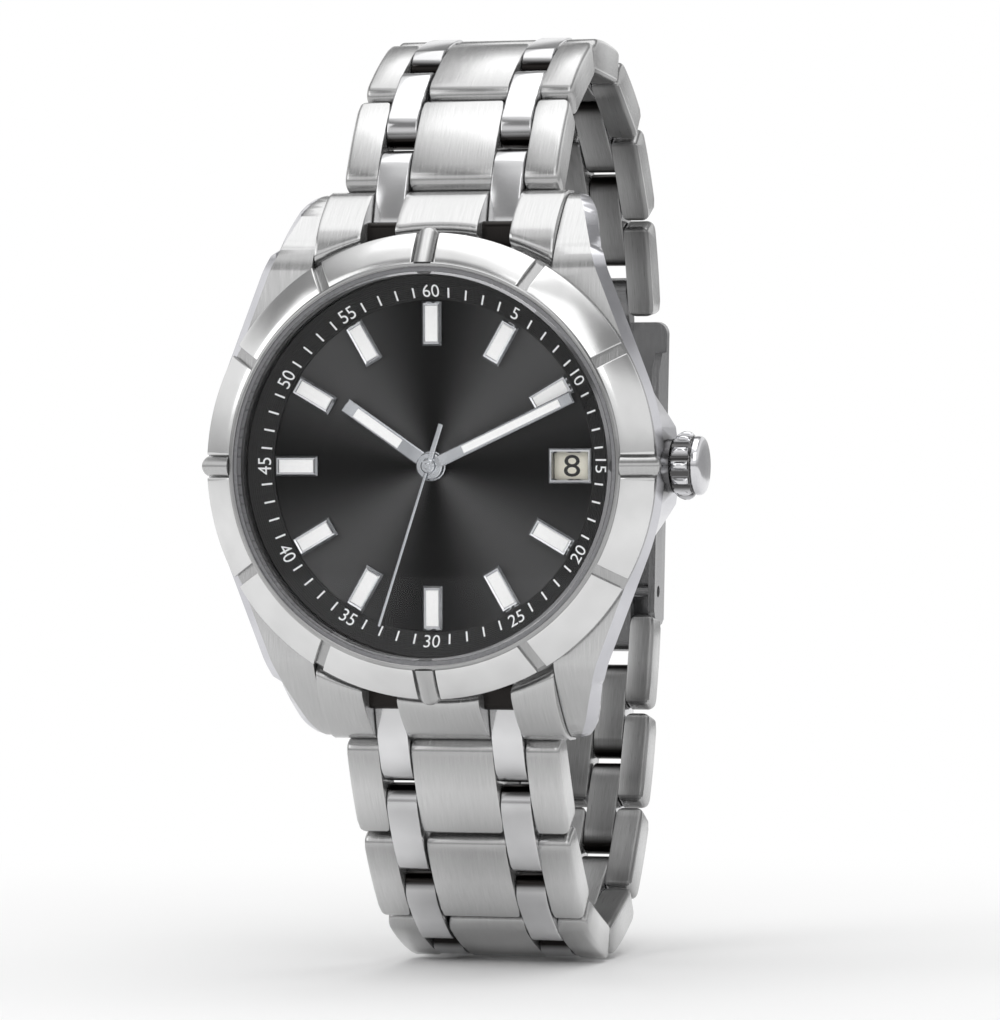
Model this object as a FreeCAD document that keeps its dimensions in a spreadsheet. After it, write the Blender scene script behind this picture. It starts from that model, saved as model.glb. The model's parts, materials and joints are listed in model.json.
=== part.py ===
# A steel self-winding wristwatch with date on a closed five-column steel bracelet.
#
# Frame: +X points to 3 o'clock, +Z to 12 o'clock and +Y from the dial through the case back
# into the wrist.  The origin is the centre of the case back's flat face, so a height above the
# case back is -Y.  A height is written as a positive size and placed at minus that size.
import FreeCAD, Part
import math
import os
import re
import Sketcher

from FreeCAD import Placement, Rotation, Vector

doc = FreeCAD.newDocument("wristwatch")
sheet = doc.addObject("Spreadsheet::Sheet", "Sizes")

# Driving sizes in millimetres and degrees: alias, value, what it is.
SIZES = [
    # Case.
    ("case_step", 0.4, "case side at 3 and 9 o'clock past the bezel"),
    ("shoulder_step", 1.55, "case side in to where the round flank meets the lug flank"),
    ("shoulder_z", 8.0, "height on the dial plane of that meeting point"),
    ("lug_end_half", 12.75, "half width at the lug tips"),
    ("lug_long", 4.4, "lug tip past the round case wall"),
    ("lug_tip_level", 1.3, "top of the lug tip above the case back"),
    ("lug_drop", 1.0, "bottom of the lug tip below the case back"),
    ("lug_sweep_long", 4.8, "hollow sweep of the lug tops, back from the tip"),
    ("lug_sweep_radius", 9.0, "hollow sweep of the lug tops"),
    ("lug_root_long", 5.9, "lug underside that drops from the flat case bottom"),
    ("lug_gap_half", 10.7, "half of the gap between the lugs"),
    ("case_wall", 1.1, "round case wall between the lugs, outside the snap collar"),
    ("lug_bevel", 0.8, "polished bevel along the lugs"),
    ("back_step", 1.0, "case bottom above the case back's face"),
    ("case_height", 5.7, "case bottom to the bezel seat"),
    ("seat_depth", 0.8, "flange ring seat below the case top"),
    ("cavity_radius", 14.9, "room for the movement"),
    ("back_thread_step", 0.8, "case back thread past the movement's room"),
    ("back_thread_depth", 1.3, "case back thread in the case"),
    ("cut_past", 1.0, "how far a cut runs past the face it opens"),
    # Bezel and crystal.
    ("bezel_wide", 2.55, "polished cone from its inner to its outer end"),
    ("bezel_wall", 0.9, "upright edge of the bezel"),
    ("bezel_rise", 1.8, "rise of the polished cone"),
    ("bezel_dome_radius", 14.0, "slight dome of the polished cone"),
    ("bezel_rim_flat", 0.25, "flat of the thin rim round the crystal"),
    ("bezel_rim_rise", 0.15, "thin rim round the crystal"),
    ("bezel_collar", 0.7, "bezel snap collar in the case"),
    ("bezel_collar_out", 1.6, "outside of the snap collar past the flange ring"),
    ("bezel_collar_wall", 0.7, "wall of the snap collar"),
    ("groove_width", 0.95, "radial grooves in the bezel"),
    ("groove_depth", 0.42, "depth of the radial grooves"),
    ("bar_width", 1.85, "half-round bars at 12, 3, 6 and 9"),
    ("bar_lift", 0.45, "how far the bar's top stands over the cone"),
    ("bar_reach", 0.5, "how far the bars stand out past the bezel"),
    ("crystal_land", 0.25, "ledge that the crystal rests on"),
    ("crystal_thick", 1.4, "crystal"),
    ("crystal_bevel", 0.25, "crystal edge"),
    ("crystal_shelf", 1.65, "shelf under the crystal above the case top"),
    ("crystal_seal", 0.35, "gasket round the crystal"),
    ("seal_height", 0.9, "gasket round the crystal"),
    # Dial, flange ring and date.
    ("flange_seat", 1.4, "width of the flange ring's seat in the case"),
    ("flange_rise", 1.45, "flange ring outer height over the seat"),
    ("flange_wide", 2.1, "flange ring from its inside to its outside"),
    ("flange_lip", 0.15, "flange ring edge over the dial"),
    ("dial_lap", 0.4, "dial under the flange ring"),
    ("dial_thick", 0.4, "dial"),
    ("dial_bore", 1.15, "hole for the hands"),
    ("loose_fit", 0.05, "running or seating clearance"),
    ("marker_gap", 0.15, "hour markers from the flange ring"),
    ("marker_long", 3.8, "hour marker length"),
    ("marker_wide", 1.75, "hour marker width"),
    ("marker_high", 0.5, "hour marker height"),
    ("marker_rim", 0.29, "metal border of an hour marker"),
    ("marker_well", 0.3, "depth of the lume well"),
    ("lume_drop", 0.02, "marker lume below the marker's rim"),
    ("date_inset", 1.75, "date window's middle from the date disc's edge"),
    ("date_long", 3.0, "date window along X"),
    ("date_tall", 2.2, "date window along Z"),
    ("date_rim", 0.37, "date window frame"),
    ("date_rim_high", 0.22, "date window frame above the dial"),
    ("date_disc_gap", 0.15, "date disc inside the holding ring"),
    ("date_disc_wide", 3.6, "date disc from its inside to its outside"),
    ("date_disc_thick", 0.2, "date disc"),
    ("date_disc_drop", 0.15, "date disc below the dial"),
    # Hands.
    ("hour_hand_gap", 1.0, "hour hand's tip from the hour markers"),
    ("hour_hand_wide", 1.25, "hour hand"),
    ("hour_hand_level", 0.55, "hour hand above the dial"),
    ("hour_hub", 1.3, "hour hand hub"),
    ("hour_pipe", 0.95, "hour hand pipe"),
    ("hour_lume_gap", 1.15, "end of the hour hand's lume from its tip"),
    ("hour_hand_angle", 304.5, "clockwise from 12"),
    ("minute_hand_gap", 0.3, "minute hand's tip from the flange ring"),
    ("minute_hand_wide", 1.05, "minute hand"),
    ("minute_hand_level", 1.05, "minute hand above the dial"),
    ("minute_hub", 1.15, "minute hand hub"),
    ("minute_pipe", 0.6, "minute hand pipe"),
    ("minute_lume_gap", 1.2, "end of the minute hand's lume from its tip"),
    ("minute_hand_angle", 65.1, "clockwise from 12"),
    ("lume_start", 3.3, "start of the lume in both hands"),
    ("lume_share_gap", 0.2, "metal border beside the lume"),
    ("hand_thick", 0.22, "hour and minute hand"),
    ("seconds_hand_lap", 0.2, "seconds hand's tip over the flange ring"),
    ("seconds_tail", 3.75, "seconds hand tail"),
    ("seconds_hand_wide", 0.26, "seconds hand"),
    ("seconds_tail_wide", 0.5, "seconds hand tail end"),
    ("seconds_hand_level", 1.5, "seconds hand above the dial"),
    ("seconds_hand_thick", 0.14, "seconds hand"),
    ("seconds_hub", 0.6, "seconds hand hub"),
    ("seconds_pin", 0.22, "seconds hand pin"),
    ("seconds_hand_angle", 197.9, "clockwise from 12"),
    # Case back.
    ("back_flange", 1.5, "case back flange past its thread"),
    ("back_slope", 1.8, "sloped edge of the case back"),
    ("back_edge", 0.2, "upright edge of the case back flange"),
    ("back_wall", 0.55, "case back plate"),
    ("back_thread_wall", 0.6, "case back thread ring"),
    ("back_seal", 0.45, "case back gasket"),
    # Crown and stem.
    ("crown_level", 4.0, "crown axis above the case back"),
    ("crown_radius", 2.95, "crown over the flutes"),
    ("crown_gap", 0.6, "crown's inner face from the case side"),
    ("crown_flute_long", 1.45, "fluted part of the crown"),
    ("crown_neck_long", 1.0, "plain part of the crown"),
    ("crown_cap", 0.75, "domed end of the crown"),
    ("crown_neck_radius", 2.55, "plain part of the crown"),
    ("crown_cap_radius", 2.1, "edge of the domed end"),
    ("crown_flutes", 12, "number of flutes"),
    ("crown_flute_radius", 0.62, "flute cutter"),
    ("crown_flute_inset", 0.1, "flute cutter axis outside the crown's edge"),
    ("crown_bore", 1.6, "hollow of the crown"),
    ("crown_wall", 0.9, "end wall of the crown"),
    ("crown_lip", 0.6, "inner wall of the crown, round the tube"),
    ("crown_edge", 0.25, "bevel of the crown's inner edge"),
    ("crown_slope", 0.3, "slope from the flutes down to the plain part"),
    ("boss_radius", 2.3, "boss on the case behind the crown"),
    ("boss_out", 0.4, "end of that boss past the case side"),
    ("tube_radius", 1.15, "hole for the crown tube"),
    ("tube_press", 0.01, "crown tube in its hole"),
    ("tube_bore", 0.62, "crown tube bore"),
    ("tube_in", 1.5, "inner end of the crown tube from the movement's room"),
    ("tube_out", 2.0, "outer end of the crown tube past the boss"),
    ("stem_radius", 0.45, "winding stem"),
    ("stem_inner_end", 6.0, "inner end of the winding stem"),
    ("stem_pivot", 0.32, "thin inner end of the stem"),
    ("stem_pivot_long", 3.0, "thin inner end of the stem"),
    ("stem_gap", 0.12, "stem in the holding ring"),
    ("crown_seal_thick", 0.4, "gasket in the crown"),
    ("crown_seal_fit", 0.02, "gasket in the crown and round the tube"),
    # Movement.
    ("plate_inset", 0.2, "main plate inside the holding ring"),
    ("plate_level", 4.6, "underside of the main plate above the case back"),
    ("plate_thick", 0.75, "main plate"),
    ("plate_bore", 1.05, "centre hole of the main plate"),
    ("ring_wide", 1.8, "movement holding ring from inside to outside"),
    ("ring_fit", 0.1, "movement holding ring in the case"),
    ("ring_level", 2.45, "bottom of the movement holding ring"),
    ("ring_ledge", 0.75, "holding ring's wall round the date disc"),
    ("bridge_level", 2.6, "bottom of the bridges"),
    ("bridge_thick", 0.5, "bridges"),
    ("bridge_edge", 1.5, "straight edge of the train bridge below the centre"),
    ("wheel_gap", 0.12, "wheels from plate and bridges"),
    ("barrel_radius", 4.2, "mainspring barrel"),
    ("barrel_x", -3.6, "mainspring barrel centre"),
    ("barrel_edge", 1.08, "mainspring barrel from the main plate's edge"),
    ("barrel_thick", 1.2, "mainspring barrel"),
    ("leg_left_x", -9.6, "left leg of the train bridge"),
    ("leg_left_z", 1.2, "left leg of the train bridge"),
    ("leg_right_x", 8.2, "right leg of the train bridge"),
    ("leg_right_z", 6.4, "right leg of the train bridge"),
    ("leg_radius", 0.9, "legs of the train bridge"),
    ("balance_radius", 3.2, "balance wheel"),
    ("balance_x", 3.4, "balance wheel centre"),
    ("balance_edge", 1.82, "balance wheel from the main plate's edge"),
    ("balance_rim", 0.5, "balance wheel rim"),
    ("balance_thick", 0.5, "balance wheel"),
    ("arbor_radius", 0.35, "arbors of barrel, balance and rotor"),
    ("cock_half", 1.6, "half width of the balance cock"),
    ("cock_tip", 1.2, "balance cock past the staff"),
    ("cock_foot", 1.2, "foot of the balance cock along Z"),
    ("cock_foot_gap", 0.3, "foot from the balance wheel"),
    ("rotor_gap", 0.7, "winding rotor inside the holding ring"),
    ("rotor_level", 1.75, "bottom of the winding rotor above the case back"),
    ("rotor_web", 0.3, "rotor web"),
    ("rotor_rim", 2.2, "heavy rim of the rotor"),
    ("rotor_rim_thick", 0.6, "heavy rim of the rotor"),
    ("rotor_hub", 1.9, "rotor hub"),
    # Bracelet links.
    ("row_pins", 4.4, "pin spacing in a brushed row"),
    ("pair_pins", 5.0, "pin spacing in a polished pair"),
    ("row_overhang", 2.4, "brushed link past its pin, outside face"),
    ("row_inner_overhang", 1.95, "brushed link past its pin, inside face"),
    ("row_thick", 3.2, "brushed link"),
    ("row_corner", 0.55, "rounded edges of a brushed link"),
    ("row_end_lean", 0.12, "how far a link's end face leans out at its foot"),
    ("pair_radius", 1.45, "round end of a polished link"),
    ("first_centre", 7.4, "centre link of the first row"),
    ("first_outer", 3.0, "outer link of the first row"),
    ("centre_taper", 0.2, "centre link gets narrower per row"),
    ("outer_taper", 0.12, "outer link gets narrower per row"),
    ("pair_wide", 2.75, "polished link"),
    ("side_gap", 0.06, "between neighbouring columns"),
    ("pin_radius", 0.5, "bracelet pin"),
    ("pin_press", 0.02, "pin in a brushed link"),
    ("pin_recess", 0.35, "pin end below the outer link's side"),
    ("end_pin_back", 2.7, "end link's outer pin back from the lug tip"),
    ("end_pin_level", 0.6, "end link's outer pin above the case back"),
    ("end_tilt", 10.0, "slope of the end link's tip"),
    ("end_link_out", 0.25, "end link's outer edge past the lug tip"),
    ("end_link_slope", 1.25, "end link's inner edge back from its outer edge"),
    ("end_link_under", 1.0, "end link's underside below the case back"),
    ("end_link_gap", 0.08, "end link from lugs, bezel and case wall"),
    ("end_link_bevel", 0.2, "bevel of the end link's outer edge"),
    ("slot_gap", 0.15, "first polished pair in the end link's slots"),
    ("slot_lean", 0.5, "how far the slot's mouth widens"),
    ("bar_out", 1.2, "spring bar from the round case wall"),
    ("bar_level", 2.7, "spring bar above the case back"),
    ("bar_radius", 0.65, "spring bar"),
    ("bar_depth", 1.0, "spring bar tip in the lug"),
    # Clasp, in the cover's own frame: along from its top pin, and out from that pin.
    ("cover_start", 2.85, "cover's top edge from its top pin"),
    ("cover_long", 28.2, "cover plate"),
    ("cover_out", 1.9, "cover's outer face above its top pin"),
    ("cover_thick", 0.9, "cover plate"),
    ("cover_half", 9.45, "half width of the cover"),
    ("flange_thick", 0.7, "side wall of the cover"),
    ("flange_deep", 3.6, "side wall of the cover"),
    ("flange_foot", 2.5, "side wall of the cover at its two ends"),
    ("flange_slope", 1.8, "length of the side wall's sloped ends"),
    ("flange_start", 5.6, "cover's side wall from its top pin"),
    ("flange_lap", 1.0, "side wall's end that is closed across"),
    ("tongue_radius", 1.3, "cover's eyes on its top pin"),
    ("tongue_lap", 1.0, "tongue of an eye over the cover plate"),
    ("tongue_drop", 0.1, "tongue below the cover's outer face"),
    ("tongue_nose", 0.2, "tongue before the cover plate's edge"),
    ("tongue_deep", 0.3, "tongue below the cover's inner face"),
    ("fold_pin_low", 27.6, "lower clasp pin from the top pin"),
    ("fold_pin_high", 6.6, "upper clasp pin from the top pin"),
    ("fold_pin_in", 0.35, "both clasp pins, inwards from the top pin"),
    ("blade_eye", 0.9, "eyes of the blades"),
    ("blade_thick", 0.8, "blades"),
    ("blade_half", 5.2, "half width of the blades"),
    ("blade_eye_half", 2.9, "half width of the outer blade's upper eye"),
    ("blade_side_gap", 0.1, "between the two blades' eyes along the pin"),
    ("blade_end_gap", 0.3, "notch in a blade round the other's eye"),
    ("blade_lap", 0.27, "inner blade's plate past its upper pin"),
    ("blade_arm", 1.0, "arms of the inner blade's lower eyes on its plate"),
    ("inner_blade_in", 1.7, "inner blade's middle, inwards from the top pin"),
    ("inner_blade_end", 29.1, "inner blade's plate end"),
    ("last_pin_along", 31.9, "last bracelet pin from the top pin"),
    ("last_pin_in", 1.25, "last bracelet pin, inwards from the top pin"),
    ("last_eye", 1.15, "inner blade's eyes by the last pin"),
]
# Sizes that follow from those, from the movement's room outwards: alias, rule, what it is.
FOLLOWING = [
    ("flange_radius", "cavity_radius + flange_seat", "flange ring outside"),
    ("flange_bore", "flange_radius - flange_wide", "flange ring inside"),
    ("dial_radius", "flange_bore + dial_lap", "dial"),
    ("crystal_radius", "flange_radius + loose_fit + crystal_land", "crystal"),
    ("bezel_rim_radius", "crystal_radius + crystal_seal + bezel_rim_flat + bezel_rim_rise",
     "inner end of the polished cone"),
    ("bezel_radius", "bezel_rim_radius + bezel_wide", "bezel outside"),
    ("bezel_collar_radius", "flange_radius + bezel_collar_out", "outside of the snap collar"),
    ("lug_wall_radius", "bezel_collar_radius + case_wall", "round case wall between the lugs"),
    ("case_half_width", "bezel_radius + case_step", "case side at 3 and 9 o'clock"),
    ("shoulder_half", "case_half_width - shoulder_step", "where the straight lug flank starts"),
    ("lug_tip_z", "lug_wall_radius + lug_long", "lug tip from the dial centre"),
    ("lug_sweep_z", "lug_tip_z - lug_sweep_long", "where the hollow sweep of the lugs starts"),
    ("lug_root_z", "lug_tip_z - lug_root_long", "where the flat case bottom ends"),
    ("back_thread_radius", "cavity_radius + back_thread_step", "case back thread"),
    ("back_radius", "back_thread_radius + back_flange", "case back flange"),
    ("back_face_radius", "back_radius - back_slope", "flat face of the case back"),
    ("crown_start", "case_half_width + crown_gap", "crown's inner face from the centre"),
    ("boss_end", "case_half_width + boss_out", "end of the crown's boss"),
    ("tube_inner_end", "cavity_radius + tube_in", "inner end of the crown tube"),
    ("tube_outer_end", "boss_end + tube_out", "outer end of the crown tube"),
    ("ring_radius", "cavity_radius - ring_fit", "movement holding ring outside"),
    ("ring_bore", "ring_radius - ring_wide", "movement holding ring inside"),
    ("ring_disc_bore", "ring_radius - ring_ledge", "holding ring round the date disc"),
    ("date_disc_radius", "ring_disc_bore - date_disc_gap", "date disc outside"),
    ("date_disc_bore", "date_disc_radius - date_disc_wide", "date disc inside"),
    ("date_centre", "date_disc_radius - date_inset", "date window from the dial centre"),
    ("plate_radius", "ring_bore - plate_inset", "main plate"),
    ("rotor_radius", "ring_bore - rotor_gap", "winding rotor"),
    ("barrel_z", "sqrt((plate_radius - barrel_radius - barrel_edge) ^ 2 - barrel_x ^ 2)",
     "mainspring barrel centre"),
    ("balance_z", "-sqrt((plate_radius - balance_radius - balance_edge) ^ 2 - balance_x ^ 2)",
     "balance wheel centre"),
    ("marker_inner", "flange_bore - marker_gap - marker_long", "inner end of the hour markers"),
    ("hour_hand_long", "marker_inner - hour_hand_gap", "hour hand from the centre"),
    ("hour_lume_end", "hour_hand_long - hour_lume_gap", "end of the hour hand's lume"),
    ("minute_hand_long", "flange_bore - minute_hand_gap", "minute hand from the centre"),
    ("minute_lume_end", "minute_hand_long - minute_lume_gap", "end of the minute hand's lume"),
    ("seconds_hand_long", "flange_bore + seconds_hand_lap", "seconds hand tip"),
    ("end_pin_z", "lug_tip_z - end_pin_back", "end link's outer pin from the dial centre"),
    ("end_link_top", "lug_tip_z + end_link_out", "end link's outer edge"),
    ("end_link_low", "end_link_top - end_link_slope", "end link's inner edge"),
    ("bar_z", "lug_wall_radius + bar_out", "spring bar from the dial centre"),
]
# Slopes of the brushed rows against the dial plane, from the end link round to the clasp.
UPPER_TILTS = [32.0, 59.0, 94.5, 122.5, 146.5, 165.0]
LOWER_TILTS = [25.5, 36.5, 67.0, 110.0, 144.0, 158.0, 164.0]
COVER_TILT = 176.0

CELLS = [(alias, str(number), note) for alias, number, note in SIZES]
CELLS += [(alias, f"={rule}", note) for alias, rule, note in FOLLOWING]
for line, (alias, content, note) in enumerate(CELLS, start=1):
    sheet.set(f"A{line}", note)
    sheet.set(f"B{line}", content)
    sheet.setAlias(f"B{line}", alias)
doc.recompute()
ALIASES = {alias for alias, content, note in CELLS}

# Levels and lengths that follow from the driving sizes.
CASE_TOP = "(back_step + case_height)"
SEAT = f"({CASE_TOP} - seat_depth)"
DIAL_TOP = f"({SEAT} + dial_thick)"
SHELF = f"({CASE_TOP} + crystal_shelf)"
BEZEL_EDGE = f"({CASE_TOP} + bezel_wall)"
BEZEL_TOP = f"({BEZEL_EDGE} + bezel_rise)"
HEAD_BORE = "(flange_radius + loose_fit)"
PLATE_TOP = "(plate_level + plate_thick)"
DISC_TOP = f"({SEAT} - date_disc_drop)"
CROWN_END = "(crown_start + crown_flute_long + crown_neck_long + crown_cap)"
BRIDGE_TOP = "(bridge_level + bridge_thick)"
BACK_SEAT = "(back_step + back_thread_depth)"
LUG_SLOPE = "((shoulder_half - lug_end_half) / (lug_tip_z - shoulder_z))"
LUG_END = "(lug_tip_z + cut_past)"
END_HALF = "(lug_gap_half - end_link_gap)"
HOURS = "12"
QUARTERS = "4"


def tie(expression):
    """Point every alias in an expression at the spreadsheet."""
    def bind(word):
        name = word.group(0)
        return f"Sizes.{name}" if name in ALIASES else name
    return re.sub(r"[a-z]\w*", bind, str(expression))


def size(expression):
    """The present value of an expression of aliases."""
    return float(sheet.evalExpression(str(expression)))


def origin_feature(body, role):
    """One of a body's own origin planes or axes."""
    for feature in body.Origin.OriginFeatures:
        if feature.Role == role:
            return feature
    raise ValueError(role)


def new_body(label):
    """An empty body that may hold several separate solids."""
    body = doc.addObject("PartDesign::Body", label)
    body.Label = label
    body.AllowCompound = True
    return body


def new_sketch(body, plane, offset="0", turn=None):
    """A sketch on one of the body's origin planes, moved out along the plane's normal."""
    sketch = body.newObject("Sketcher::SketchObject", "Outline")
    sketch.AttachmentSupport = [(origin_feature(body, plane), "")]
    sketch.MapMode = "FlatFace"
    if turn:
        sketch.AttachmentOffset = Placement(Vector(), turn)
    sketch.setExpression("AttachmentOffset.Base.z", tie(offset))
    return sketch


def fix_point(sketch, edge, end, x, y):
    """Tie one point of a sketch to two expressions."""
    for kind, expression in (("DistanceX", x), ("DistanceY", y)):
        rule = Sketcher.Constraint(kind, edge, end, size(expression))
        number = sketch.addConstraint(rule)
        sketch.setExpression(f"Constraints[{number}]", tie(expression))


def add_loop(sketch, points):
    """A closed outline.  A corner is (x, y), or (x, y, radius) where an arc of that radius leads
    on to the next corner: a positive radius turns left along the way, a negative one right.
    The words left and right in place of a radius make a half circle."""
    corners = [(size(point[0]), size(point[1])) for point in points]
    edges = []
    for place, point in enumerate(points):
        start = Vector(*corners[place], 0)
        end = Vector(*corners[(place + 1) % len(points)], 0)
        if len(point) == 2:
            edges.append((sketch.addGeometry(Part.LineSegment(start, end), False), 1, 2))
            continue
        chord = end - start
        left = point[2] != "right" and not point[2].startswith("-")
        radius = chord.Length / 2 if point[2] in ("left", "right") else abs(size(point[2]))
        side = Vector(-chord.y, chord.x, 0).normalize()
        reach = math.sqrt(max(radius ** 2 - (chord.Length / 2) ** 2, 0.0))
        centre = (start + end) * 0.5 + side * (reach if left else -reach)
        first, last = (start, end) if left else (end, start)
        angles = [math.atan2(p.y - centre.y, p.x - centre.x) for p in (first, last)]
        circle = Part.Circle(centre, Vector(0, 0, 1), radius)
        arc = sketch.addGeometry(Part.ArcOfCircle(circle, *angles), False)
        edges.append((arc, 1, 2) if left else (arc, 2, 1))
    for place, (edge, near, far) in enumerate(edges):
        following, next_near, next_far = edges[(place + 1) % len(edges)]
        sketch.addConstraint(Sketcher.Constraint("Coincident", edge, far, following, next_near))
        fix_point(sketch, edge, near, points[place][0], points[place][1])
        if len(points[place]) == 2:
            continue
        bow = points[place][2]
        if bow in ("left", "right"):
            centre_halfway(sketch, edge, points[place], points[(place + 1) % len(points)])
        else:
            rule = Sketcher.Constraint("Radius", edge, abs(size(bow)))
            number = sketch.addConstraint(rule)
            sketch.setExpression(f"Constraints[{number}]", tie(bow.lstrip("-")))


def centre_halfway(sketch, edge, start, end):
    """Keep the centre of a half circle midway between its ends."""
    spans = [abs(size(end[axis]) - size(start[axis])) for axis in (0, 1)]
    axis = spans.index(min(spans))
    middle = f"(({start[axis]}) + ({end[axis]})) / 2"
    rule = Sketcher.Constraint(("DistanceX", "DistanceY")[axis], edge, 3, size(middle))
    number = sketch.addConstraint(rule)
    sketch.setExpression(f"Constraints[{number}]", tie(middle))


def add_circle(sketch, x, y, radius):
    """A full circle in a sketch."""
    centre = Vector(size(x), size(y), 0)
    edge = sketch.addGeometry(Part.Circle(centre, Vector(0, 0, 1), size(radius)), False)
    fix_point(sketch, edge, 3, x, y)
    number = sketch.addConstraint(Sketcher.Constraint("Radius", edge, size(radius)))
    sketch.setExpression(f"Constraints[{number}]", tie(radius))


def add_box(sketch, x_low, x_high, y_low, y_high):
    """A rectangle in a sketch."""
    add_loop(sketch, [(x_low, y_low), (x_high, y_low), (x_high, y_high), (x_low, y_high)])


def pad(body, sketch, length, both_ways=False):
    """Extrude a sketch along its normal, or by half the length to each side."""
    feature = body.newObject("PartDesign::Pad", "Pad")
    feature.Profile = sketch
    feature.setExpression("Length", tie(length))
    if both_ways:
        feature.SideType = "Symmetric"
    return feature


def pocket(body, sketch, length=None):
    """Cut a sketch to a depth against its normal, or right through both ways."""
    feature = body.newObject("PartDesign::Pocket", "Pocket")
    feature.Profile = sketch
    if length is None:
        feature.SideType = "Symmetric"
        feature.Type = "ThroughAll"
    else:
        feature.setExpression("Length", tie(length))
    return feature


def spin(body, points, kind="Revolution"):
    """Turn an outline of (radius, height above the case back) round the dial axis."""
    sketch = new_sketch(body, "XY_Plane")
    add_loop(sketch, [(point[0], f"-({point[1]})") + tuple(point[2:]) for point in points])
    feature = body.newObject(f"PartDesign::{kind}", kind)
    feature.Profile = sketch
    feature.ReferenceAxis = (sketch, ["V_Axis"])
    feature.Angle = 360
    return feature


def spin_ring(body, inner, outer, low, high, kind="Revolution"):
    """A plain ring between two radii and two heights."""
    return spin(body, [(inner, low), (outer, low), (outer, high), (inner, high)], kind)


def ring_of(body, features, count, axis="Y_Axis"):
    """Repeat features evenly round one of the body's axes."""
    pattern = body.newObject("PartDesign::PolarPattern", "Ring")
    pattern.Originals = features
    pattern.Axis = (origin_feature(body, axis), [""])
    pattern.Angle = 360
    pattern.setExpression("Occurrences", tie(count))
    body.Tip = pattern
    return pattern


def cylinder(label, radius, length, centre, axis):
    """A round bar centred on a point; centre is three expressions."""
    bar = doc.addObject("Part::Cylinder", label)
    bar.setExpression("Radius", tie(radius))
    bar.setExpression("Height", tie(length))
    turn = Rotation(Vector(0, 0, 1), Vector(*axis))
    bar.Placement = Placement(Vector(), turn)
    for name, value, part in zip("xyz", centre, axis):
        bar.setExpression(f"Placement.Base.{name}", tie(f"{value} - {part} * ({length}) / 2"))
    return bar


def group(label, pieces):
    """Several separate solids that make one node."""
    node = doc.addObject("Part::Compound", label)
    node.Links = pieces
    node.Label = label
    return node


nodes = []


# ---------------------------------------------------------------- case
def make_mid_case():
    """Case middle with four lugs, the hollow sweep of their tops and the crown boss."""
    body = new_body("mid_case")
    side = new_sketch(body, "YZ_Plane")
    add_loop(side, [
        (f"-{CASE_TOP}", "-lug_sweep_z"),
        (f"-{CASE_TOP}", "lug_sweep_z", "lug_sweep_radius"),
        ("-lug_tip_level", "lug_tip_z"),
        ("lug_drop", "lug_tip_z"),
        ("-back_step", "lug_root_z"),
        ("-back_step", "-lug_root_z"),
        ("lug_drop", "-lug_tip_z"),
        ("-lug_tip_level", "-lug_tip_z", "lug_sweep_radius"),
    ])
    pad(body, side, "2 * (case_half_width + cut_past)", both_ways=True)
    waste = new_sketch(body, "XZ_Plane")
    add_box(waste, "-2 * lug_tip_z", "2 * lug_tip_z", "-2 * lug_tip_z", "2 * lug_tip_z")
    flank = ("((case_half_width - shoulder_half) ^ 2 + shoulder_z ^ 2)"
             " / (2 * (case_half_width - shoulder_half))")
    past_half = f"(lug_end_half - cut_past * {LUG_SLOPE})"
    add_loop(waste, [
        (past_half, f"-{LUG_END}"),
        ("shoulder_half", "-shoulder_z", flank),
        ("shoulder_half", "shoulder_z"),
        (past_half, LUG_END),
        (f"-{past_half}", LUG_END),
        ("-shoulder_half", "shoulder_z", flank),
        ("-shoulder_half", "-shoulder_z"),
        (f"-{past_half}", f"-{LUG_END}"),
    ])
    pocket(body, waste)
    doc.recompute()
    add_bevel(body)
    gaps = new_sketch(body, "XZ_Plane")
    corner = "sqrt(lug_wall_radius ^ 2 - lug_gap_half ^ 2)"
    for side_sign in ("", "-"):
        turn = "-lug_wall_radius" if not side_sign else "lug_wall_radius"
        add_loop(gaps, [
            ("-lug_gap_half", f"{side_sign}({corner})", turn),
            ("lug_gap_half", f"{side_sign}({corner})"),
            ("lug_gap_half", f"{side_sign}{LUG_END}"),
            ("-lug_gap_half", f"{side_sign}{LUG_END}"),
        ])
    pocket(body, gaps)
    boss = new_sketch(body, "YZ_Plane", "lug_wall_radius")
    add_circle(boss, "-crown_level", "0", "boss_radius")
    pad(body, boss, "boss_end - lug_wall_radius")
    spin_ring(body, "0", "back_thread_radius", "back_step - cut_past", BACK_SEAT, "Groove")
    spin_ring(body, "0", "cavity_radius", f"{BACK_SEAT} - loose_fit", SEAT, "Groove")
    spin_ring(body, "0", HEAD_BORE, SEAT, f"{CASE_TOP} + cut_past", "Groove")
    spin_ring(body, "bezel_collar_radius - bezel_collar_wall - loose_fit",
              "bezel_collar_radius + loose_fit", f"{CASE_TOP} - bezel_collar - loose_fit",
              f"{CASE_TOP} + cut_past", "Groove")
    tube = new_sketch(body, "YZ_Plane", "boss_end + cut_past")
    add_circle(tube, "-crown_level", "0", "tube_radius")
    pocket(body, tube, "boss_end + cut_past - ring_bore")
    bar_hole = new_sketch(body, "YZ_Plane", "lug_gap_half + bar_depth + loose_fit")
    for sign in ("", "-"):
        add_circle(bar_hole, "-bar_level", f"{sign}bar_z", "bar_radius + loose_fit")
    pocket(body, bar_hole, "2 * (lug_gap_half + bar_depth + loose_fit)")
    return body


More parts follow.
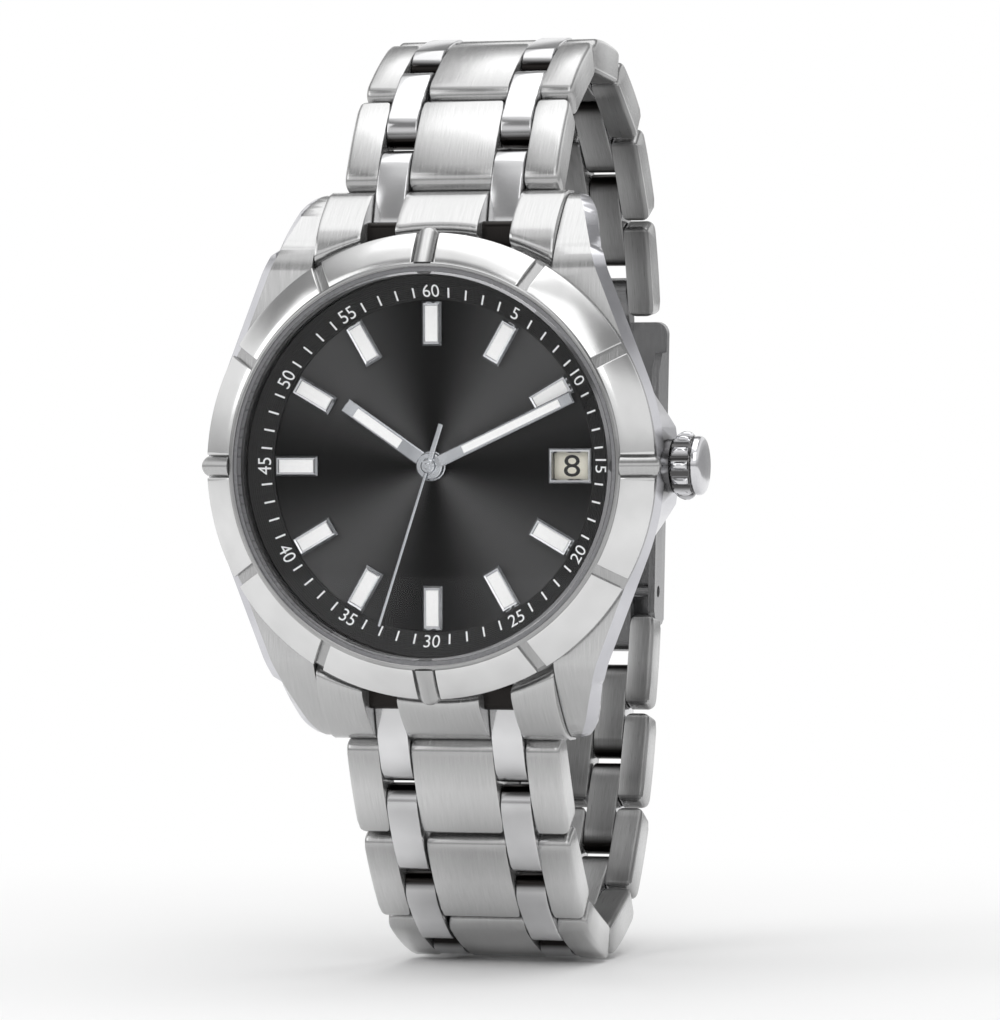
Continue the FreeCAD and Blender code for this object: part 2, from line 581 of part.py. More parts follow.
def add_bevel(body):
    """The polished bevel along the flanks, where the top surfaces end."""
    names = []
    for number, edge in enumerate(body.Shape.Edges, start=1):
        ends = [vertex.Point for vertex in edge.Vertexes]
        on_top = all(p.y < -size("lug_tip_level * 0.9") for p in ends)
        runs_along_z = len(ends) == 2 and ends[0].x * ends[1].x > 0 and ends[0].z != ends[1].z
        if on_top and runs_along_z and abs(ends[0].z - ends[1].z) > size("lug_bevel"):
            names.append(f"Edge{number}")
    shell = body.Tip
    chamfer = body.newObject("PartDesign::Chamfer", "Bevel")
    chamfer.Base = (shell, names)
    chamfer.setExpression("Size", tie("lug_bevel"))
    body.Tip = chamfer


def make_bezel():
    """Polished ring with radial grooves and four half-round bars."""
    body = new_body("bezel")
    spin(body, [
        (HEAD_BORE, CASE_TOP),
        ("bezel_collar_radius - bezel_collar_wall", CASE_TOP),
        ("bezel_collar_radius - bezel_collar_wall", f"{CASE_TOP} - bezel_collar"),
        ("bezel_collar_radius", f"{CASE_TOP} - bezel_collar"),
        ("bezel_collar_radius", CASE_TOP),
        ("bezel_radius", CASE_TOP),
        ("bezel_radius", BEZEL_EDGE, "-bezel_dome_radius"),
        ("bezel_rim_radius", BEZEL_TOP),
        ("bezel_rim_radius - bezel_rim_rise", f"{BEZEL_TOP} + bezel_rim_rise"),
        ("crystal_radius + crystal_seal", f"{BEZEL_TOP} + bezel_rim_rise"),
        ("crystal_radius + crystal_seal", SHELF),
        (HEAD_BORE, SHELF),
    ])
    out = "(bezel_radius + cut_past)"
    slope = "(bezel_rise / (bezel_radius - bezel_rim_radius))"
    wedge = [
        ("bezel_rim_radius", f"-({BEZEL_TOP} - groove_depth)"),
        (out, f"-({BEZEL_EDGE} - groove_depth - cut_past * {slope})"),
        (out, f"-({BEZEL_TOP} + cut_past)"),
        ("bezel_rim_radius", f"-({BEZEL_TOP} + cut_past)"),
    ]
    grooves = []
    for angle in (30, 60):
        cut = new_sketch(body, "XY_Plane", "0", Rotation(Vector(0, 1, 0), angle))
        add_loop(cut, wedge)
        grooves.append(pocket_across(body, cut, "groove_width"))
    ring_of(body, grooves, QUARTERS)
    lean = math.degrees(math.atan(size(slope)))
    # The bar's outline lies square to the cone and is drawn from the cone's inner end outwards.
    section = new_sketch(body, "YZ_Plane", "0", Rotation(Vector(0, 1, 0), lean))
    section.setExpression("AttachmentOffset.Base.x", tie(f"-({BEZEL_TOP})"))
    section.setExpression("AttachmentOffset.Base.z", tie("bezel_rim_radius"))
    half = "(bar_width / 2)"
    add_loop(section, [
        ("groove_depth", f"-{half}"),
        ("groove_depth", half),
        ("0", half, f"({half} ^ 2 + bar_lift ^ 2) / (2 * bar_lift)"),
        ("0", f"-{half}"),
    ])
    reach = "(bezel_radius + bar_reach - bezel_rim_radius)"
    bar = pad(body, section, f"{reach} / {math.cos(math.radians(lean)):.4f}")
    ring_of(body, [bar], QUARTERS)
    return body


def pocket_across(body, sketch, width):
    """Cut a sketch by half a width to each side."""
    feature = pocket(body, sketch, width)
    feature.SideType = "Symmetric"
    return feature


def make_crystal():
    """Flat sapphire crystal with a bevelled edge."""
    body = new_body("crystal")
    top = f"({SHELF} + crystal_thick)"
    spin(body, [
        ("0", SHELF), ("crystal_radius", SHELF),
        ("crystal_radius", f"{top} - crystal_bevel"), ("crystal_radius - crystal_bevel", top),
        ("0", top),
    ])
    return body


def make_crystal_gasket():
    """Nylon ring that holds the crystal in the bezel."""
    body = new_body("crystal_gasket")
    spin_ring(body, "crystal_radius", "crystal_radius + crystal_seal", SHELF,
              f"{SHELF} + seal_height")
    return body


def make_case_back():
    """Screwed case back with its thread ring; its flat face is the watch's seat."""
    body = new_body("case_back")
    thread = "(back_thread_radius - loose_fit)"
    spin(body, [
        ("0", "0"), ("back_face_radius", "0"), ("back_radius", "back_step - back_edge"),
        ("back_radius", "back_step"), (thread, "back_step"), (thread, BACK_SEAT),
        (f"{thread} - back_thread_wall", BACK_SEAT),
        (f"{thread} - back_thread_wall", "back_wall"), ("0", "back_wall"),
    ])
    spin_ring(body, "back_thread_radius", "back_thread_radius + back_seal",
              "back_step - back_seal", "back_step + cut_past", "Groove")
    return body


def make_case_back_gasket():
    """Rubber ring in the case back's groove."""
    body = new_body("case_back_gasket")
    spin_ring(body, "back_thread_radius", "back_thread_radius + back_seal",
              "back_step - back_seal", "back_step")
    return body


# ---------------------------------------------------------------- dial side
def make_flange_ring():
    """Sloped ring with the minute track, over the edge of the dial."""
    body = new_body("flange_ring")
    spin(body, [
        ("flange_bore", DIAL_TOP), ("flange_bore", f"{DIAL_TOP} + flange_lip"),
        ("flange_radius", f"{SEAT} + flange_rise"), ("flange_radius", SEAT),
        ("dial_radius + loose_fit", SEAT), ("dial_radius + loose_fit", DIAL_TOP),
    ])
    return body


def make_dial():
    """Dial with the hole for the hands and the date opening."""
    body = new_body("dial")
    spin_ring(body, "dial_bore", "dial_radius", SEAT, DIAL_TOP)
    window = new_sketch(body, "XZ_Plane", DIAL_TOP)
    add_box(window, "date_centre - date_long / 2", "date_centre + date_long / 2",
            "-date_tall / 2", "date_tall / 2")
    pocket(body, window, "dial_thick")
    return body


def make_hour_markers():
    """Eleven applied markers, each a bar with a well for the lume."""
    body = new_body("hour_markers")
    bars = new_sketch(body, "XZ_Plane", DIAL_TOP)
    add_box(bars, "-marker_wide / 2", "marker_wide / 2", "marker_inner",
            "marker_inner + marker_long")
    bar = pad(body, bars, "marker_high")
    wells = new_sketch(body, "XZ_Plane", f"{DIAL_TOP} + marker_high")
    add_lume_outline(wells)
    well = pocket(body, wells, "marker_well")
    ring_of(body, [bar, well], HOURS)
    clear_date_place(body)
    return body


def clear_date_place(body):
    """Take the marker at 3 o'clock away, where the date is."""
    place = new_sketch(body, "XZ_Plane", f"{DIAL_TOP} + 2 * marker_high")
    add_box(place, "marker_inner - cut_past", "marker_inner + marker_long + cut_past",
            "-marker_wide", "marker_wide")
    pocket(body, place, "2 * marker_high")


def add_lume_outline(sketch):
    """The luminous fill of the marker at 12 o'clock."""
    add_box(sketch, "-marker_wide / 2 + marker_rim", "marker_wide / 2 - marker_rim",
            "marker_inner + marker_rim", "marker_inner + marker_long - marker_rim")


def make_marker_lume():
    """The fill in the eleven markers."""
    body = new_body("marker_lume")
    fills = new_sketch(body, "XZ_Plane", f"{DIAL_TOP} + marker_high - marker_well")
    add_lume_outline(fills)
    ring_of(body, [pad(body, fills, "marker_well - lume_drop")], HOURS)
    clear_date_place(body)
    return body


def make_date_window_frame():
    """Metal frame round the date opening."""
    body = new_body("date_window_frame")
    frame = new_sketch(body, "XZ_Plane", DIAL_TOP)
    for rim in ("date_rim", "0"):
        add_box(frame, f"date_centre - date_long / 2 - {rim}",
                f"date_centre + date_long / 2 + {rim}",
                f"-date_tall / 2 - {rim}", f"date_tall / 2 + {rim}")
    pad(body, frame, "date_rim_high")
    return body


def make_date_disc():
    """Printed ring that turns under the date opening."""
    body = new_body("date_disc")
    spin_ring(body, "date_disc_bore", "date_disc_radius", f"{DISC_TOP} - date_disc_thick",
              DISC_TOP)
    return body


# ---------------------------------------------------------------- hands
def turn_hand(node, angle):
    """Set a hand that was drawn at 12 o'clock to its time, clockwise for the wearer."""
    node.Placement = Placement(Vector(), Rotation(Vector(0, 1, 0), size(angle)))


def make_baton_hand(kind, pipe_low, pipe_bore):
    """Hour or minute hand: a flat baton with a slot for the lume, a hub and a pipe."""
    body = new_body(f"{kind}_hand")
    low = f"({DIAL_TOP} + {kind}_hand_level)"
    half = f"({kind}_hand_wide / 2)"
    flat = new_sketch(body, "XZ_Plane", low)
    add_box(flat, f"-{half}", half, "0", f"{kind}_hand_long")
    pad(body, flat, "hand_thick")
    hub = new_sketch(body, "XZ_Plane", low)
    add_circle(hub, "0", "0", f"{kind}_hub")
    pad(body, hub, "hand_thick")
    pipe = new_sketch(body, "XZ_Plane", pipe_low)
    add_circle(pipe, "0", "0", f"{kind}_pipe")
    pad(body, pipe, f"{low} - {pipe_low}")
    bore = new_sketch(body, "XZ_Plane")
    add_circle(bore, "0", "0", pipe_bore)
    pocket(body, bore)
    slot = new_sketch(body, "XZ_Plane")
    add_lume_slot(slot, kind)
    pocket(body, slot)
    turn_hand(body, f"{kind}_hand_angle")
    return body


def add_lume_slot(sketch, kind):
    """Outline of a hand's luminous fill."""
    edge = f"({kind}_hand_wide / 2 - lume_share_gap)"
    add_box(sketch, f"-{edge}", edge, "lume_start", f"{kind}_lume_end")


def make_hand_lume(kind):
    """The luminous fill in a baton hand."""
    body = new_body(f"{kind}_hand_lume")
    fill = new_sketch(body, "XZ_Plane", f"{DIAL_TOP} + {kind}_hand_level")
    add_lume_slot(fill, kind)
    pad(body, fill, "hand_thick")
    turn_hand(body, f"{kind}_hand_angle")
    return body


def make_seconds_hand():
    """Thin seconds hand with a wider tail, on the pin that runs through the other two."""
    body = new_body("seconds_hand")
    low = f"({DIAL_TOP} + seconds_hand_level)"
    needle = new_sketch(body, "XZ_Plane", low)
    half = "(seconds_hand_wide / 2)"
    tail = "(seconds_tail_wide / 2)"
    add_loop(needle, [
        (f"-{tail}", "-seconds_tail"), (tail, "-seconds_tail"), (half, "0"),
        (f"{half} / 2", "seconds_hand_long"), (f"-{half} / 2", "seconds_hand_long"),
        (f"-{half}", "0"),
    ])
    pad(body, needle, "seconds_hand_thick")
    hub = new_sketch(body, "XZ_Plane", low)
    add_circle(hub, "0", "0", "seconds_hub")
    pad(body, hub, "seconds_hand_thick * 2")
    pin = new_sketch(body, "XZ_Plane", "plate_level")
    add_circle(pin, "0", "0", "seconds_pin")
    pad(body, pin, f"{low} - plate_level")
    turn_hand(body, "seconds_hand_angle")
    return body


# ---------------------------------------------------------------- crown and stem
def make_crown_tube():
    """Tube pressed into the case, through which the stem runs."""
    outer = cylinder("tube_wall", "tube_radius - tube_press", "tube_outer_end - tube_inner_end",
                     ("(tube_outer_end + tube_inner_end) / 2", "-crown_level", "0"), (1, 0, 0))
    bore = cylinder("tube_hole", "tube_bore", "2 * tube_outer_end",
                    ("tube_outer_end", "-crown_level", "0"), (1, 0, 0))
    tube = doc.addObject("Part::Cut", "crown_tube")
    tube.Base = outer
    tube.Tool = bore
    tube.Label = "crown_tube"
    return tube


def spin_on_stem(body, points, kind="Revolution"):
    """Turn an outline of (distance from the case centre, radius) round the crown's axis."""
    sketch = new_sketch(body, "XY_Plane")
    add_loop(sketch, points)
    feature = body.newObject(f"PartDesign::{kind}", kind)
    feature.Profile = sketch
    feature.ReferenceAxis = (sketch, ["H_Axis"])
    feature.Angle = 360
    return feature


def put_on_crown_axis(body):
    """Bodies of the crown are drawn round the X axis and lifted to the stem's height."""
    body.setExpression("Placement.Base.y", tie("-crown_level"))


def make_crown():
    """Fluted crown with a plain shoulder and a domed end."""
    body = new_body("crown")
    flute_end = "(crown_start + crown_flute_long)"
    neck_end = f"({flute_end} + crown_neck_long)"
    dome = "-((crown_cap_radius ^ 2 + crown_cap ^ 2) / (2 * crown_cap))"
    spin_on_stem(body, [
        ("crown_start", "tube_radius + loose_fit"), ("crown_start", "crown_radius - crown_edge"),
        ("crown_start + crown_edge", "crown_radius"),
        (f"{flute_end} - crown_slope", "crown_radius"), (flute_end, "crown_neck_radius"),
        (neck_end, "crown_neck_radius"), (neck_end, "crown_cap_radius", dome),
        (CROWN_END, "0"), (f"{CROWN_END} - crown_wall", "0"),
        (f"{CROWN_END} - crown_wall", "crown_bore"), ("crown_start + crown_lip", "crown_bore"),
        ("crown_start + crown_lip", "tube_radius + loose_fit"),
    ])
    cutter = new_sketch(body, "YZ_Plane", f"{flute_end} + loose_fit")
    add_circle(cutter, "0", "crown_radius + crown_flute_inset", "crown_flute_radius")
    flute = pocket(body, cutter, "crown_flute_long + 2 * loose_fit")
    ring_of(body, [flute], "crown_flutes", "X_Axis")
    put_on_crown_axis(body)
    return body


def make_crown_gasket():
    """Rubber ring in the crown that slides on the tube."""
    body = new_body("crown_gasket")
    start = "(crown_start + crown_lip + loose_fit)"
    inner = "(tube_radius + crown_seal_fit)"
    outer = "(crown_bore - crown_seal_fit)"
    spin_on_stem(body, [
        (start, inner), (start, outer), (f"{start} + crown_seal_thick", outer),
        (f"{start} + crown_seal_thick", inner),
    ])
    put_on_crown_axis(body)
    return body


def make_winding_stem():
    """Stem screwed into the crown and reaching into the movement."""
    body = new_body("winding_stem")
    end = f"({CROWN_END} - crown_wall)"
    step_x = "(stem_inner_end + stem_pivot_long)"
    spin_on_stem(body, [
        ("stem_inner_end", "0"), ("stem_inner_end", "stem_pivot"), (step_x, "stem_pivot"),
        (step_x, "stem_radius"), (end, "stem_radius"), (end, "0"),
    ])
    put_on_crown_axis(body)
    return body


# ---------------------------------------------------------------- movement
def make_movement_ring():
    """Ring that centres the movement and carries the dial."""
    body = new_body("movement_ring")
    spin(body, [
        ("ring_bore", "ring_level"), ("ring_radius", "ring_level"), ("ring_radius", SEAT),
        ("ring_disc_bore", SEAT), ("ring_disc_bore", PLATE_TOP), ("plate_radius", PLATE_TOP),
        ("plate_radius", "plate_level"), ("ring_bore", "plate_level"),
    ])
    hole = new_sketch(body, "YZ_Plane", "ring_radius + cut_past")
    add_circle(hole, "-crown_level", "0", "stem_radius + stem_gap")
    pocket(body, hole, "ring_radius")
    return body


def make_main_plate():
    """Main plate of the movement."""
    body = new_body("main_plate")
    spin_ring(body, "plate_bore", "plate_radius", "plate_level", PLATE_TOP)
    return body


def make_train_bridge():
    """Half-moon bridge over the barrel, with the stud that the rotor turns on."""
    body = new_body("train_bridge")
    plate = new_sketch(body, "XZ_Plane", "bridge_level")
    reach = "(ring_bore - 2 * loose_fit)"
    add_circle(plate, "0", "0", reach)
    pad(body, plate, "bridge_thick")
    open_side = new_sketch(body, "XZ_Plane", f"{BRIDGE_TOP} + cut_past")
    add_box(open_side, f"-2 * {reach}", f"2 * {reach}", f"-2 * {reach}", "-bridge_edge")
    pocket(body, open_side, "bridge_thick + 2 * cut_past")
    hole = new_sketch(body, "XZ_Plane", "bridge_level")
    add_circle(hole, "barrel_x", "barrel_z", "arbor_radius + loose_fit")
    pocket(body, hole)
    legs = new_sketch(body, "XZ_Plane", BRIDGE_TOP)
    for side in ("left", "right"):
        add_circle(legs, f"leg_{side}_x", f"leg_{side}_z", "leg_radius")
    pad(body, legs, f"plate_level - {BRIDGE_TOP}")
    stud = new_sketch(body, "XZ_Plane", "rotor_level")
    add_circle(stud, "0", "0", "arbor_radius")
    pad(body, stud, "bridge_level - rotor_level")
    return body


def make_mainspring_barrel():
    """Toothless drum of the mainspring with its arbor."""
    body = new_body("mainspring_barrel")
    top = "(plate_level - wheel_gap)"
    drum = new_sketch(body, "XZ_Plane", f"{top} - barrel_thick")
    add_circle(drum, "barrel_x", "barrel_z", "barrel_radius")
    pad(body, drum, "barrel_thick")
    arbor = new_sketch(body, "XZ_Plane", "bridge_level + loose_fit")
    add_circle(arbor, "barrel_x", "barrel_z", "arbor_radius")
    pad(body, arbor, f"{top} - bridge_level - loose_fit")
    return body


def make_balance_wheel():
    """Balance wheel: rim, two spokes and staff."""
    body = new_body("balance_wheel")
    low = f"({BRIDGE_TOP} + wheel_gap)"
    rim = new_sketch(body, "XZ_Plane", low)
    add_circle(rim, "balance_x", "balance_z", "balance_radius")
    add_circle(rim, "balance_x", "balance_z", "balance_radius - balance_rim")
    pad(body, rim, "balance_thick")
    spoke = new_sketch(body, "XZ_Plane", low)
    reach = "(balance_radius - balance_rim / 2)"
    add_box(spoke, f"balance_x - {reach}", f"balance_x + {reach}",
            "balance_z - balance_rim / 2", "balance_z + balance_rim / 2")
    pad(body, spoke, "balance_thick")
    staff = new_sketch(body, "XZ_Plane", "bridge_level + loose_fit")
    add_circle(staff, "balance_x", "balance_z", "arbor_radius")
    pad(body, staff, "plate_level - bridge_level - loose_fit - wheel_gap")
    return body


def make_balance_cock():
    """Arm that holds the balance staff, with its foot on the main plate."""
    body = new_body("balance_cock")
    arm = new_sketch(body, "XZ_Plane", "bridge_level")
    foot_top = "(balance_z - balance_radius - cock_foot_gap)"
    foot_low = f"({foot_top} - cock_foot)"
    add_box(arm, "balance_x - cock_half", "balance_x + cock_half", foot_low,
            "balance_z + cock_tip")
    pad(body, arm, "bridge_thick")
    hole = new_sketch(body, "XZ_Plane", "bridge_level")
    add_circle(hole, "balance_x", "balance_z", "arbor_radius + loose_fit")
    pocket(body, hole)
    foot = new_sketch(body, "XZ_Plane", BRIDGE_TOP)
    add_box(foot, "balance_x - cock_half", "balance_x + cock_half", foot_low, foot_top)
    pad(body, foot, f"plate_level - {BRIDGE_TOP}")
    return body


def make_rotor():
    """Half-disc winding rotor with a heavy rim, hanging at 6 o'clock."""
    body = new_body("rotor")
    web = new_sketch(body, "XZ_Plane", "rotor_level")
    add_loop(web, [("-rotor_radius", "0", "left"), ("rotor_radius", "0")])
    pad(body, web, "rotor_web")
    rim = new_sketch(body, "XZ_Plane", "rotor_level")
    inner = "(rotor_radius - rotor_rim)"
    add_loop(rim, [("-rotor_radius", "0", "left"), ("rotor_radius", "0"),
                   (inner, "0", "right"), (f"-{inner}", "0")])
    pad(body, rim, "rotor_rim_thick")
    hub = new_sketch(body, "XZ_Plane", "rotor_level")
    add_circle(hub, "0", "0", "rotor_hub")
    pad(body, hub, "rotor_rim_thick")
    bore = new_sketch(body, "XZ_Plane", "rotor_level")
    add_circle(bore, "0", "0", "arbor_radius + loose_fit")
    pocket(body, bore)
    return body


# ---------------------------------------------------------------- bracelet
def turn_up(node, sign):
    """Head pieces drawn at 12 o'clock are turned over to 6 o'clock where sign is -1."""
    if sign < 0:
        node.Placement = Placement(Vector(), Rotation(Vector(0, 1, 0), 180))


def make_end_link(name, sign):
    """Solid end link between the lugs, with two slots for the first polished pair."""
    body = new_body(f"{name}_links")
    profile = new_sketch(body, "YZ_Plane")
    top = f"({CASE_TOP} - end_link_gap)"
    add_loop(profile, [
        (f"-{top}", "lug_wall_radius / 2"),
        (f"-{top}", "lug_sweep_z", "lug_sweep_radius"),
        ("-lug_tip_level", "end_link_top - end_link_bevel"),
        ("-lug_tip_level + end_link_bevel", "end_link_top"),
        ("end_link_under", "end_link_low"),
        ("end_link_under", "lug_wall_radius"),
        ("-back_step", "lug_wall_radius / 2"),
    ])
    pad(body, profile, f"2 * {END_HALF}", both_ways=True)
    wall = new_sketch(body, "XZ_Plane")
    add_circle(wall, "0", "0", "lug_wall_radius + end_link_gap")
    pocket(body, wall)
    slots = new_sketch(body, "YZ_Plane")
    slot_reach = "(pair_radius + slot_gap)"
    low = "(end_link_under + cut_past)"
    past = "(end_link_top + cut_past)"
    add_loop(slots, [
        (f"-{CASE_TOP}", "end_pin_z - slot_lean"),
        (f"-end_pin_level - {slot_reach}", "end_pin_z", "left"),
        (f"-end_pin_level + {slot_reach}", "end_pin_z"),
        (low, "end_pin_z - slot_lean"), (low, past), (f"-{CASE_TOP}", past),
    ])
    pocket_across(body, slots, f"2 * {slot_outer('first_centre')}")
    centre = new_sketch(body, "YZ_Plane")
    wall_z = "(lug_wall_radius + end_link_gap)"
    add_loop(centre, [
        ("-lug_tip_level", "end_link_top - end_link_bevel"),
        ("-lug_tip_level + end_link_bevel", "end_link_top"),
        ("end_link_under", "end_link_low"), ("end_link_under", wall_z),
        ("-end_pin_level - row_thick / 2", wall_z),
    ])
    pad(body, centre, "first_centre", both_ways=True)
    holes = new_sketch(body, "YZ_Plane")
    add_circle(holes, "-bar_level", "bar_z", "bar_radius + loose_fit")
    pocket(body, holes)
    pins = new_sketch(body, "YZ_Plane")
    add_circle(pins, "-end_pin_level", "end_pin_z", "pin_radius + pin_press")
    pocket(body, pins)
    turn_up(body, sign)
    pin = cylinder(f"{name}_pin", "pin_radius", f"2 * ({END_HALF} - pin_recess)",
                   ("0", "-end_pin_level", f"{sign} * end_pin_z"), (1, 0, 0))
    return group(name, [body, pin])


def slot_outer(centre):
    """Half width at the far side of the polished columns, beside a centre link."""
    return f"({centre} / 2 + pair_wide + 2 * side_gap + centre_taper / 2)"


def make_row(name, rank, ends=(-1, 1)):
    """One brushed row: outer, centre and outer link, drawn round its middle, with a pin at each
    of the given ends along Z."""
    body = new_body(f"{name}_links")
    centre = f"(first_centre - {rank - 1} * centre_taper)"
    outer = f"(first_outer - {rank - 1} * outer_taper)"
    half = f"({slot_outer(centre)} + {outer})"
    profile = new_sketch(body, "YZ_Plane")
    face = "(row_thick / 2)"
    end = "(row_pins / 2 + row_overhang)"
    inner = "(row_pins / 2 + row_inner_overhang)"
    bend = "row_corner"
    add_loop(profile, [
        (f"-{face}", f"-{end} + {bend}"),
        (f"-{face}", f"{end} - {bend}", f"-{bend}"),
        (f"-{face} + {bend}", end),
        (f"{face} - {bend}", f"{inner} + row_end_lean", f"-{bend}"),
        (face, f"{inner} - {bend}"),
        (face, f"-{inner} + {bend}", f"-{bend}"),
        (f"{face} - {bend}", f"-{inner} - row_end_lean"),
        (f"-{face} + {bend}", f"-{end}", f"-{bend}"),
    ])
    pad(body, profile, f"2 * {half}", both_ways=True)
    columns = new_sketch(body, "XZ_Plane")
    for sign in ("", "-"):
        near, far = f"{sign}{centre} / 2", f"{sign}{slot_outer(centre)}"
        add_loop(columns, [(near, f"-2 * {end}"), (far, f"-2 * {end}"), (far, f"2 * {end}"),
                           (near, f"2 * {end}")])
    pocket(body, columns)
    holes = new_sketch(body, "YZ_Plane")
    for sign in ("", "-"):
        add_circle(holes, "0", f"{sign}row_pins / 2", "pin_radius + pin_press")
    pocket(body, holes)
    pins = [cylinder(f"{name}_pin_{count}", "pin_radius", f"2 * ({half} - pin_recess)",
                     ("0", "0", f"{sign} * row_pins / 2"), (1, 0, 0))
            for count, sign in enumerate(ends, start=1)]
    return group(name, [body] + pins)


def make_pair(name, rank):
    """Two polished links with round ends, between two brushed rows."""
    body = new_body(name)
    profile = new_sketch(body, "YZ_Plane")
    end = "(pair_pins / 2)"
    radius = "pair_radius"
    add_loop(profile, [
        (f"-{radius}", f"-{end}"),
        (f"-{radius}", end, "right"),
        (radius, end),
        (radius, f"-{end}", "right"),
    ])
    near = f"((first_centre - {max(rank - 1, 0)} * centre_taper) / 2 + side_gap)"
    pad(body, profile, f"2 * ({near} + pair_wide)", both_ways=True)
    middle = new_sketch(body, "XZ_Plane")
    add_box(middle, f"-{near}", near, f"-2 * {end}", f"2 * {end}")
    pocket(body, middle)
    holes = new_sketch(body, "YZ_Plane")
    for sign in ("", "-"):
        add_circle(holes, "0", f"{sign}{end}", "pin_radius + loose_fit")
    pocket(body, holes)
    return body


def step(pin, tilt, sign, length):
    """The next pin of the chain in the Y-Z plane; sign is +1 on the 12 o'clock side."""
    angle = math.radians(tilt)
    return (pin[0] + length * math.sin(angle), pin[1] + sign * length * math.cos(angle))


def walk(tilts, sign):
    """Every link of one half of the bracelet: (kind, rank, middle, tilt), and the last pin."""
    pin = (-size("end_pin_level"), sign * size("end_pin_z"))
    links = []
    before = size("end_tilt")
    for rank, tilt in enumerate(tilts, start=1):
        for kind, slope, length in (("pair", (before + tilt) / 2, size("pair_pins")),
                                    ("row", tilt, size("row_pins"))):
            far = step(pin, slope, sign, length)
            middle = ((pin[0] + far[0]) / 2, (pin[1] + far[1]) / 2)
            links.append((kind, rank, middle, slope))
            pin = far
        before = tilt
    return links, pin


def bend_tilts(tilts, extra):
    """Add a turn that grows evenly along one half of the bracelet."""
    return [tilt + extra * rank / len(tilts) for rank, tilt in enumerate(tilts, start=1)]


def closing_gap(extra_upper, extra_lower):
    """How far the last lower pin misses its place under the clasp cover."""
    upper = walk(bend_tilts(UPPER_TILTS, extra_upper), 1)[1]
    lower = walk(bend_tilts(LOWER_TILTS, extra_lower), -1)[1]
    seat = clasp_point(upper, COVER_TILT + extra_upper, "last_pin_along", "-last_pin_in")
    return (lower[0] - seat[0], lower[1] - seat[1])


def clasp_point(top_pin, tilt, along, out):
    """A point of the clasp from its place along the cover and out from the top pin."""
    angle = math.radians(tilt)
    along_by, out_by = size(along), size(out)
    return (top_pin[0] + along_by * math.sin(angle) - out_by * math.cos(angle),
            top_pin[1] + along_by * math.cos(angle) + out_by * math.sin(angle))


def close_loop():
    """Turns to add to both halves so that the bracelet closes (Newton's method)."""
    turns = [0.0, 0.0]
    for attempt in range(30):
        miss = closing_gap(*turns)
        if math.hypot(*miss) < 1e-9:
            break
        probe = 0.01
        first = closing_gap(turns[0] + probe, turns[1])
        second = closing_gap(turns[0], turns[1] + probe)
        a, b = (first[0] - miss[0]) / probe, (second[0] - miss[0]) / probe
        c, d = (first[1] - miss[1]) / probe, (second[1] - miss[1]) / probe
        bottom = a * d - b * c
        turns[0] -= (d * miss[0] - b * miss[1]) / bottom
        turns[1] -= (a * miss[1] - c * miss[0]) / bottom
    return turns


def lay_link(node, middle, tilt, sign):
    """Put a link at its place in the chain, its outer face away from the wrist."""
    turn = Rotation(Vector(1, 0, 0), -sign * tilt)
    node.Placement = Placement(Vector(0, middle[0], middle[1]), turn)


# ---------------------------------------------------------------- clasp
# The clasp is drawn in the cover's own frame, hanging down from the top pin: Z is minus the
# distance along the cover and Y is minus the distance outwards.
COVER_IN = "(cover_out - cover_thick)"
LAST_CENTRE = f"(first_centre - {len(UPPER_TILTS) - 1} * centre_taper)"


def make_clasp_cover():
    """Cover plate with side walls and two eyes on the last upper pin."""
    body = new_body("clasp_cover_shell")
    plate = new_sketch(body, "YZ_Plane")
    add_box(plate, "-cover_out", f"-{COVER_IN}", "-cover_start - cover_long", "-cover_start")
    pad(body, plate, "2 * cover_half", both_ways=True)
    walls = new_sketch(body, "YZ_Plane")
    low = "(cover_start + cover_long)"
    add_loop(walls, [
        ("-cover_out", f"-{low}"), ("-cover_out + flange_foot", f"-{low}"),
        ("-cover_out + flange_deep", f"-{low} + flange_slope"),
        ("-cover_out + flange_deep", "-flange_start - flange_slope"),
        ("-cover_out + flange_foot", "-flange_start"), ("-cover_out", "-flange_start"),
    ])
    pad(body, walls, "2 * cover_half", both_ways=True)
    room = new_sketch(body, "YZ_Plane")
    add_box(room, f"-{COVER_IN}", "-cover_out + flange_deep + cut_past", f"-{low} - cut_past",
            "-flange_start + cut_past")
    pocket_across(body, room, "2 * (cover_half - flange_thick)")
    near = f"({LAST_CENTRE} / 2 + side_gap)"
    for sign in (1, -1):
        eye = new_sketch(body, "YZ_Plane", tongue_start(near, sign))
        add_loop(eye, [
            ("-tongue_radius", "0", "right"), ("tongue_radius", "0"),
            (f"-{COVER_IN} + tongue_deep", "-cover_start - tongue_lap"),
            ("-cover_out + tongue_drop", "-cover_start - tongue_lap"),
            ("-cover_out + tongue_drop", "-cover_start + tongue_nose"),
        ])
        pad(body, eye, "pair_wide")
    hole = new_sketch(body, "YZ_Plane")
    add_circle(hole, "0", "0", "pin_radius + loose_fit")
    pocket(body, hole)
    pivots = new_sketch(body, "YZ_Plane")
    add_circle(pivots, "fold_pin_in", "-fold_pin_low", "pin_radius + pin_press")
    pocket(body, pivots)
    pin = cylinder("clasp_low_pin", "pin_radius", "2 * (cover_half - pin_recess)",
                   ("0", "fold_pin_in", "-fold_pin_low"), (1, 0, 0))
    return group("clasp_cover", [body, pin])


def tongue_start(near, sign):
    """Where a polished column starts along X, on one side of the middle."""
    return near if sign > 0 else f"-({near} + pair_wide)"


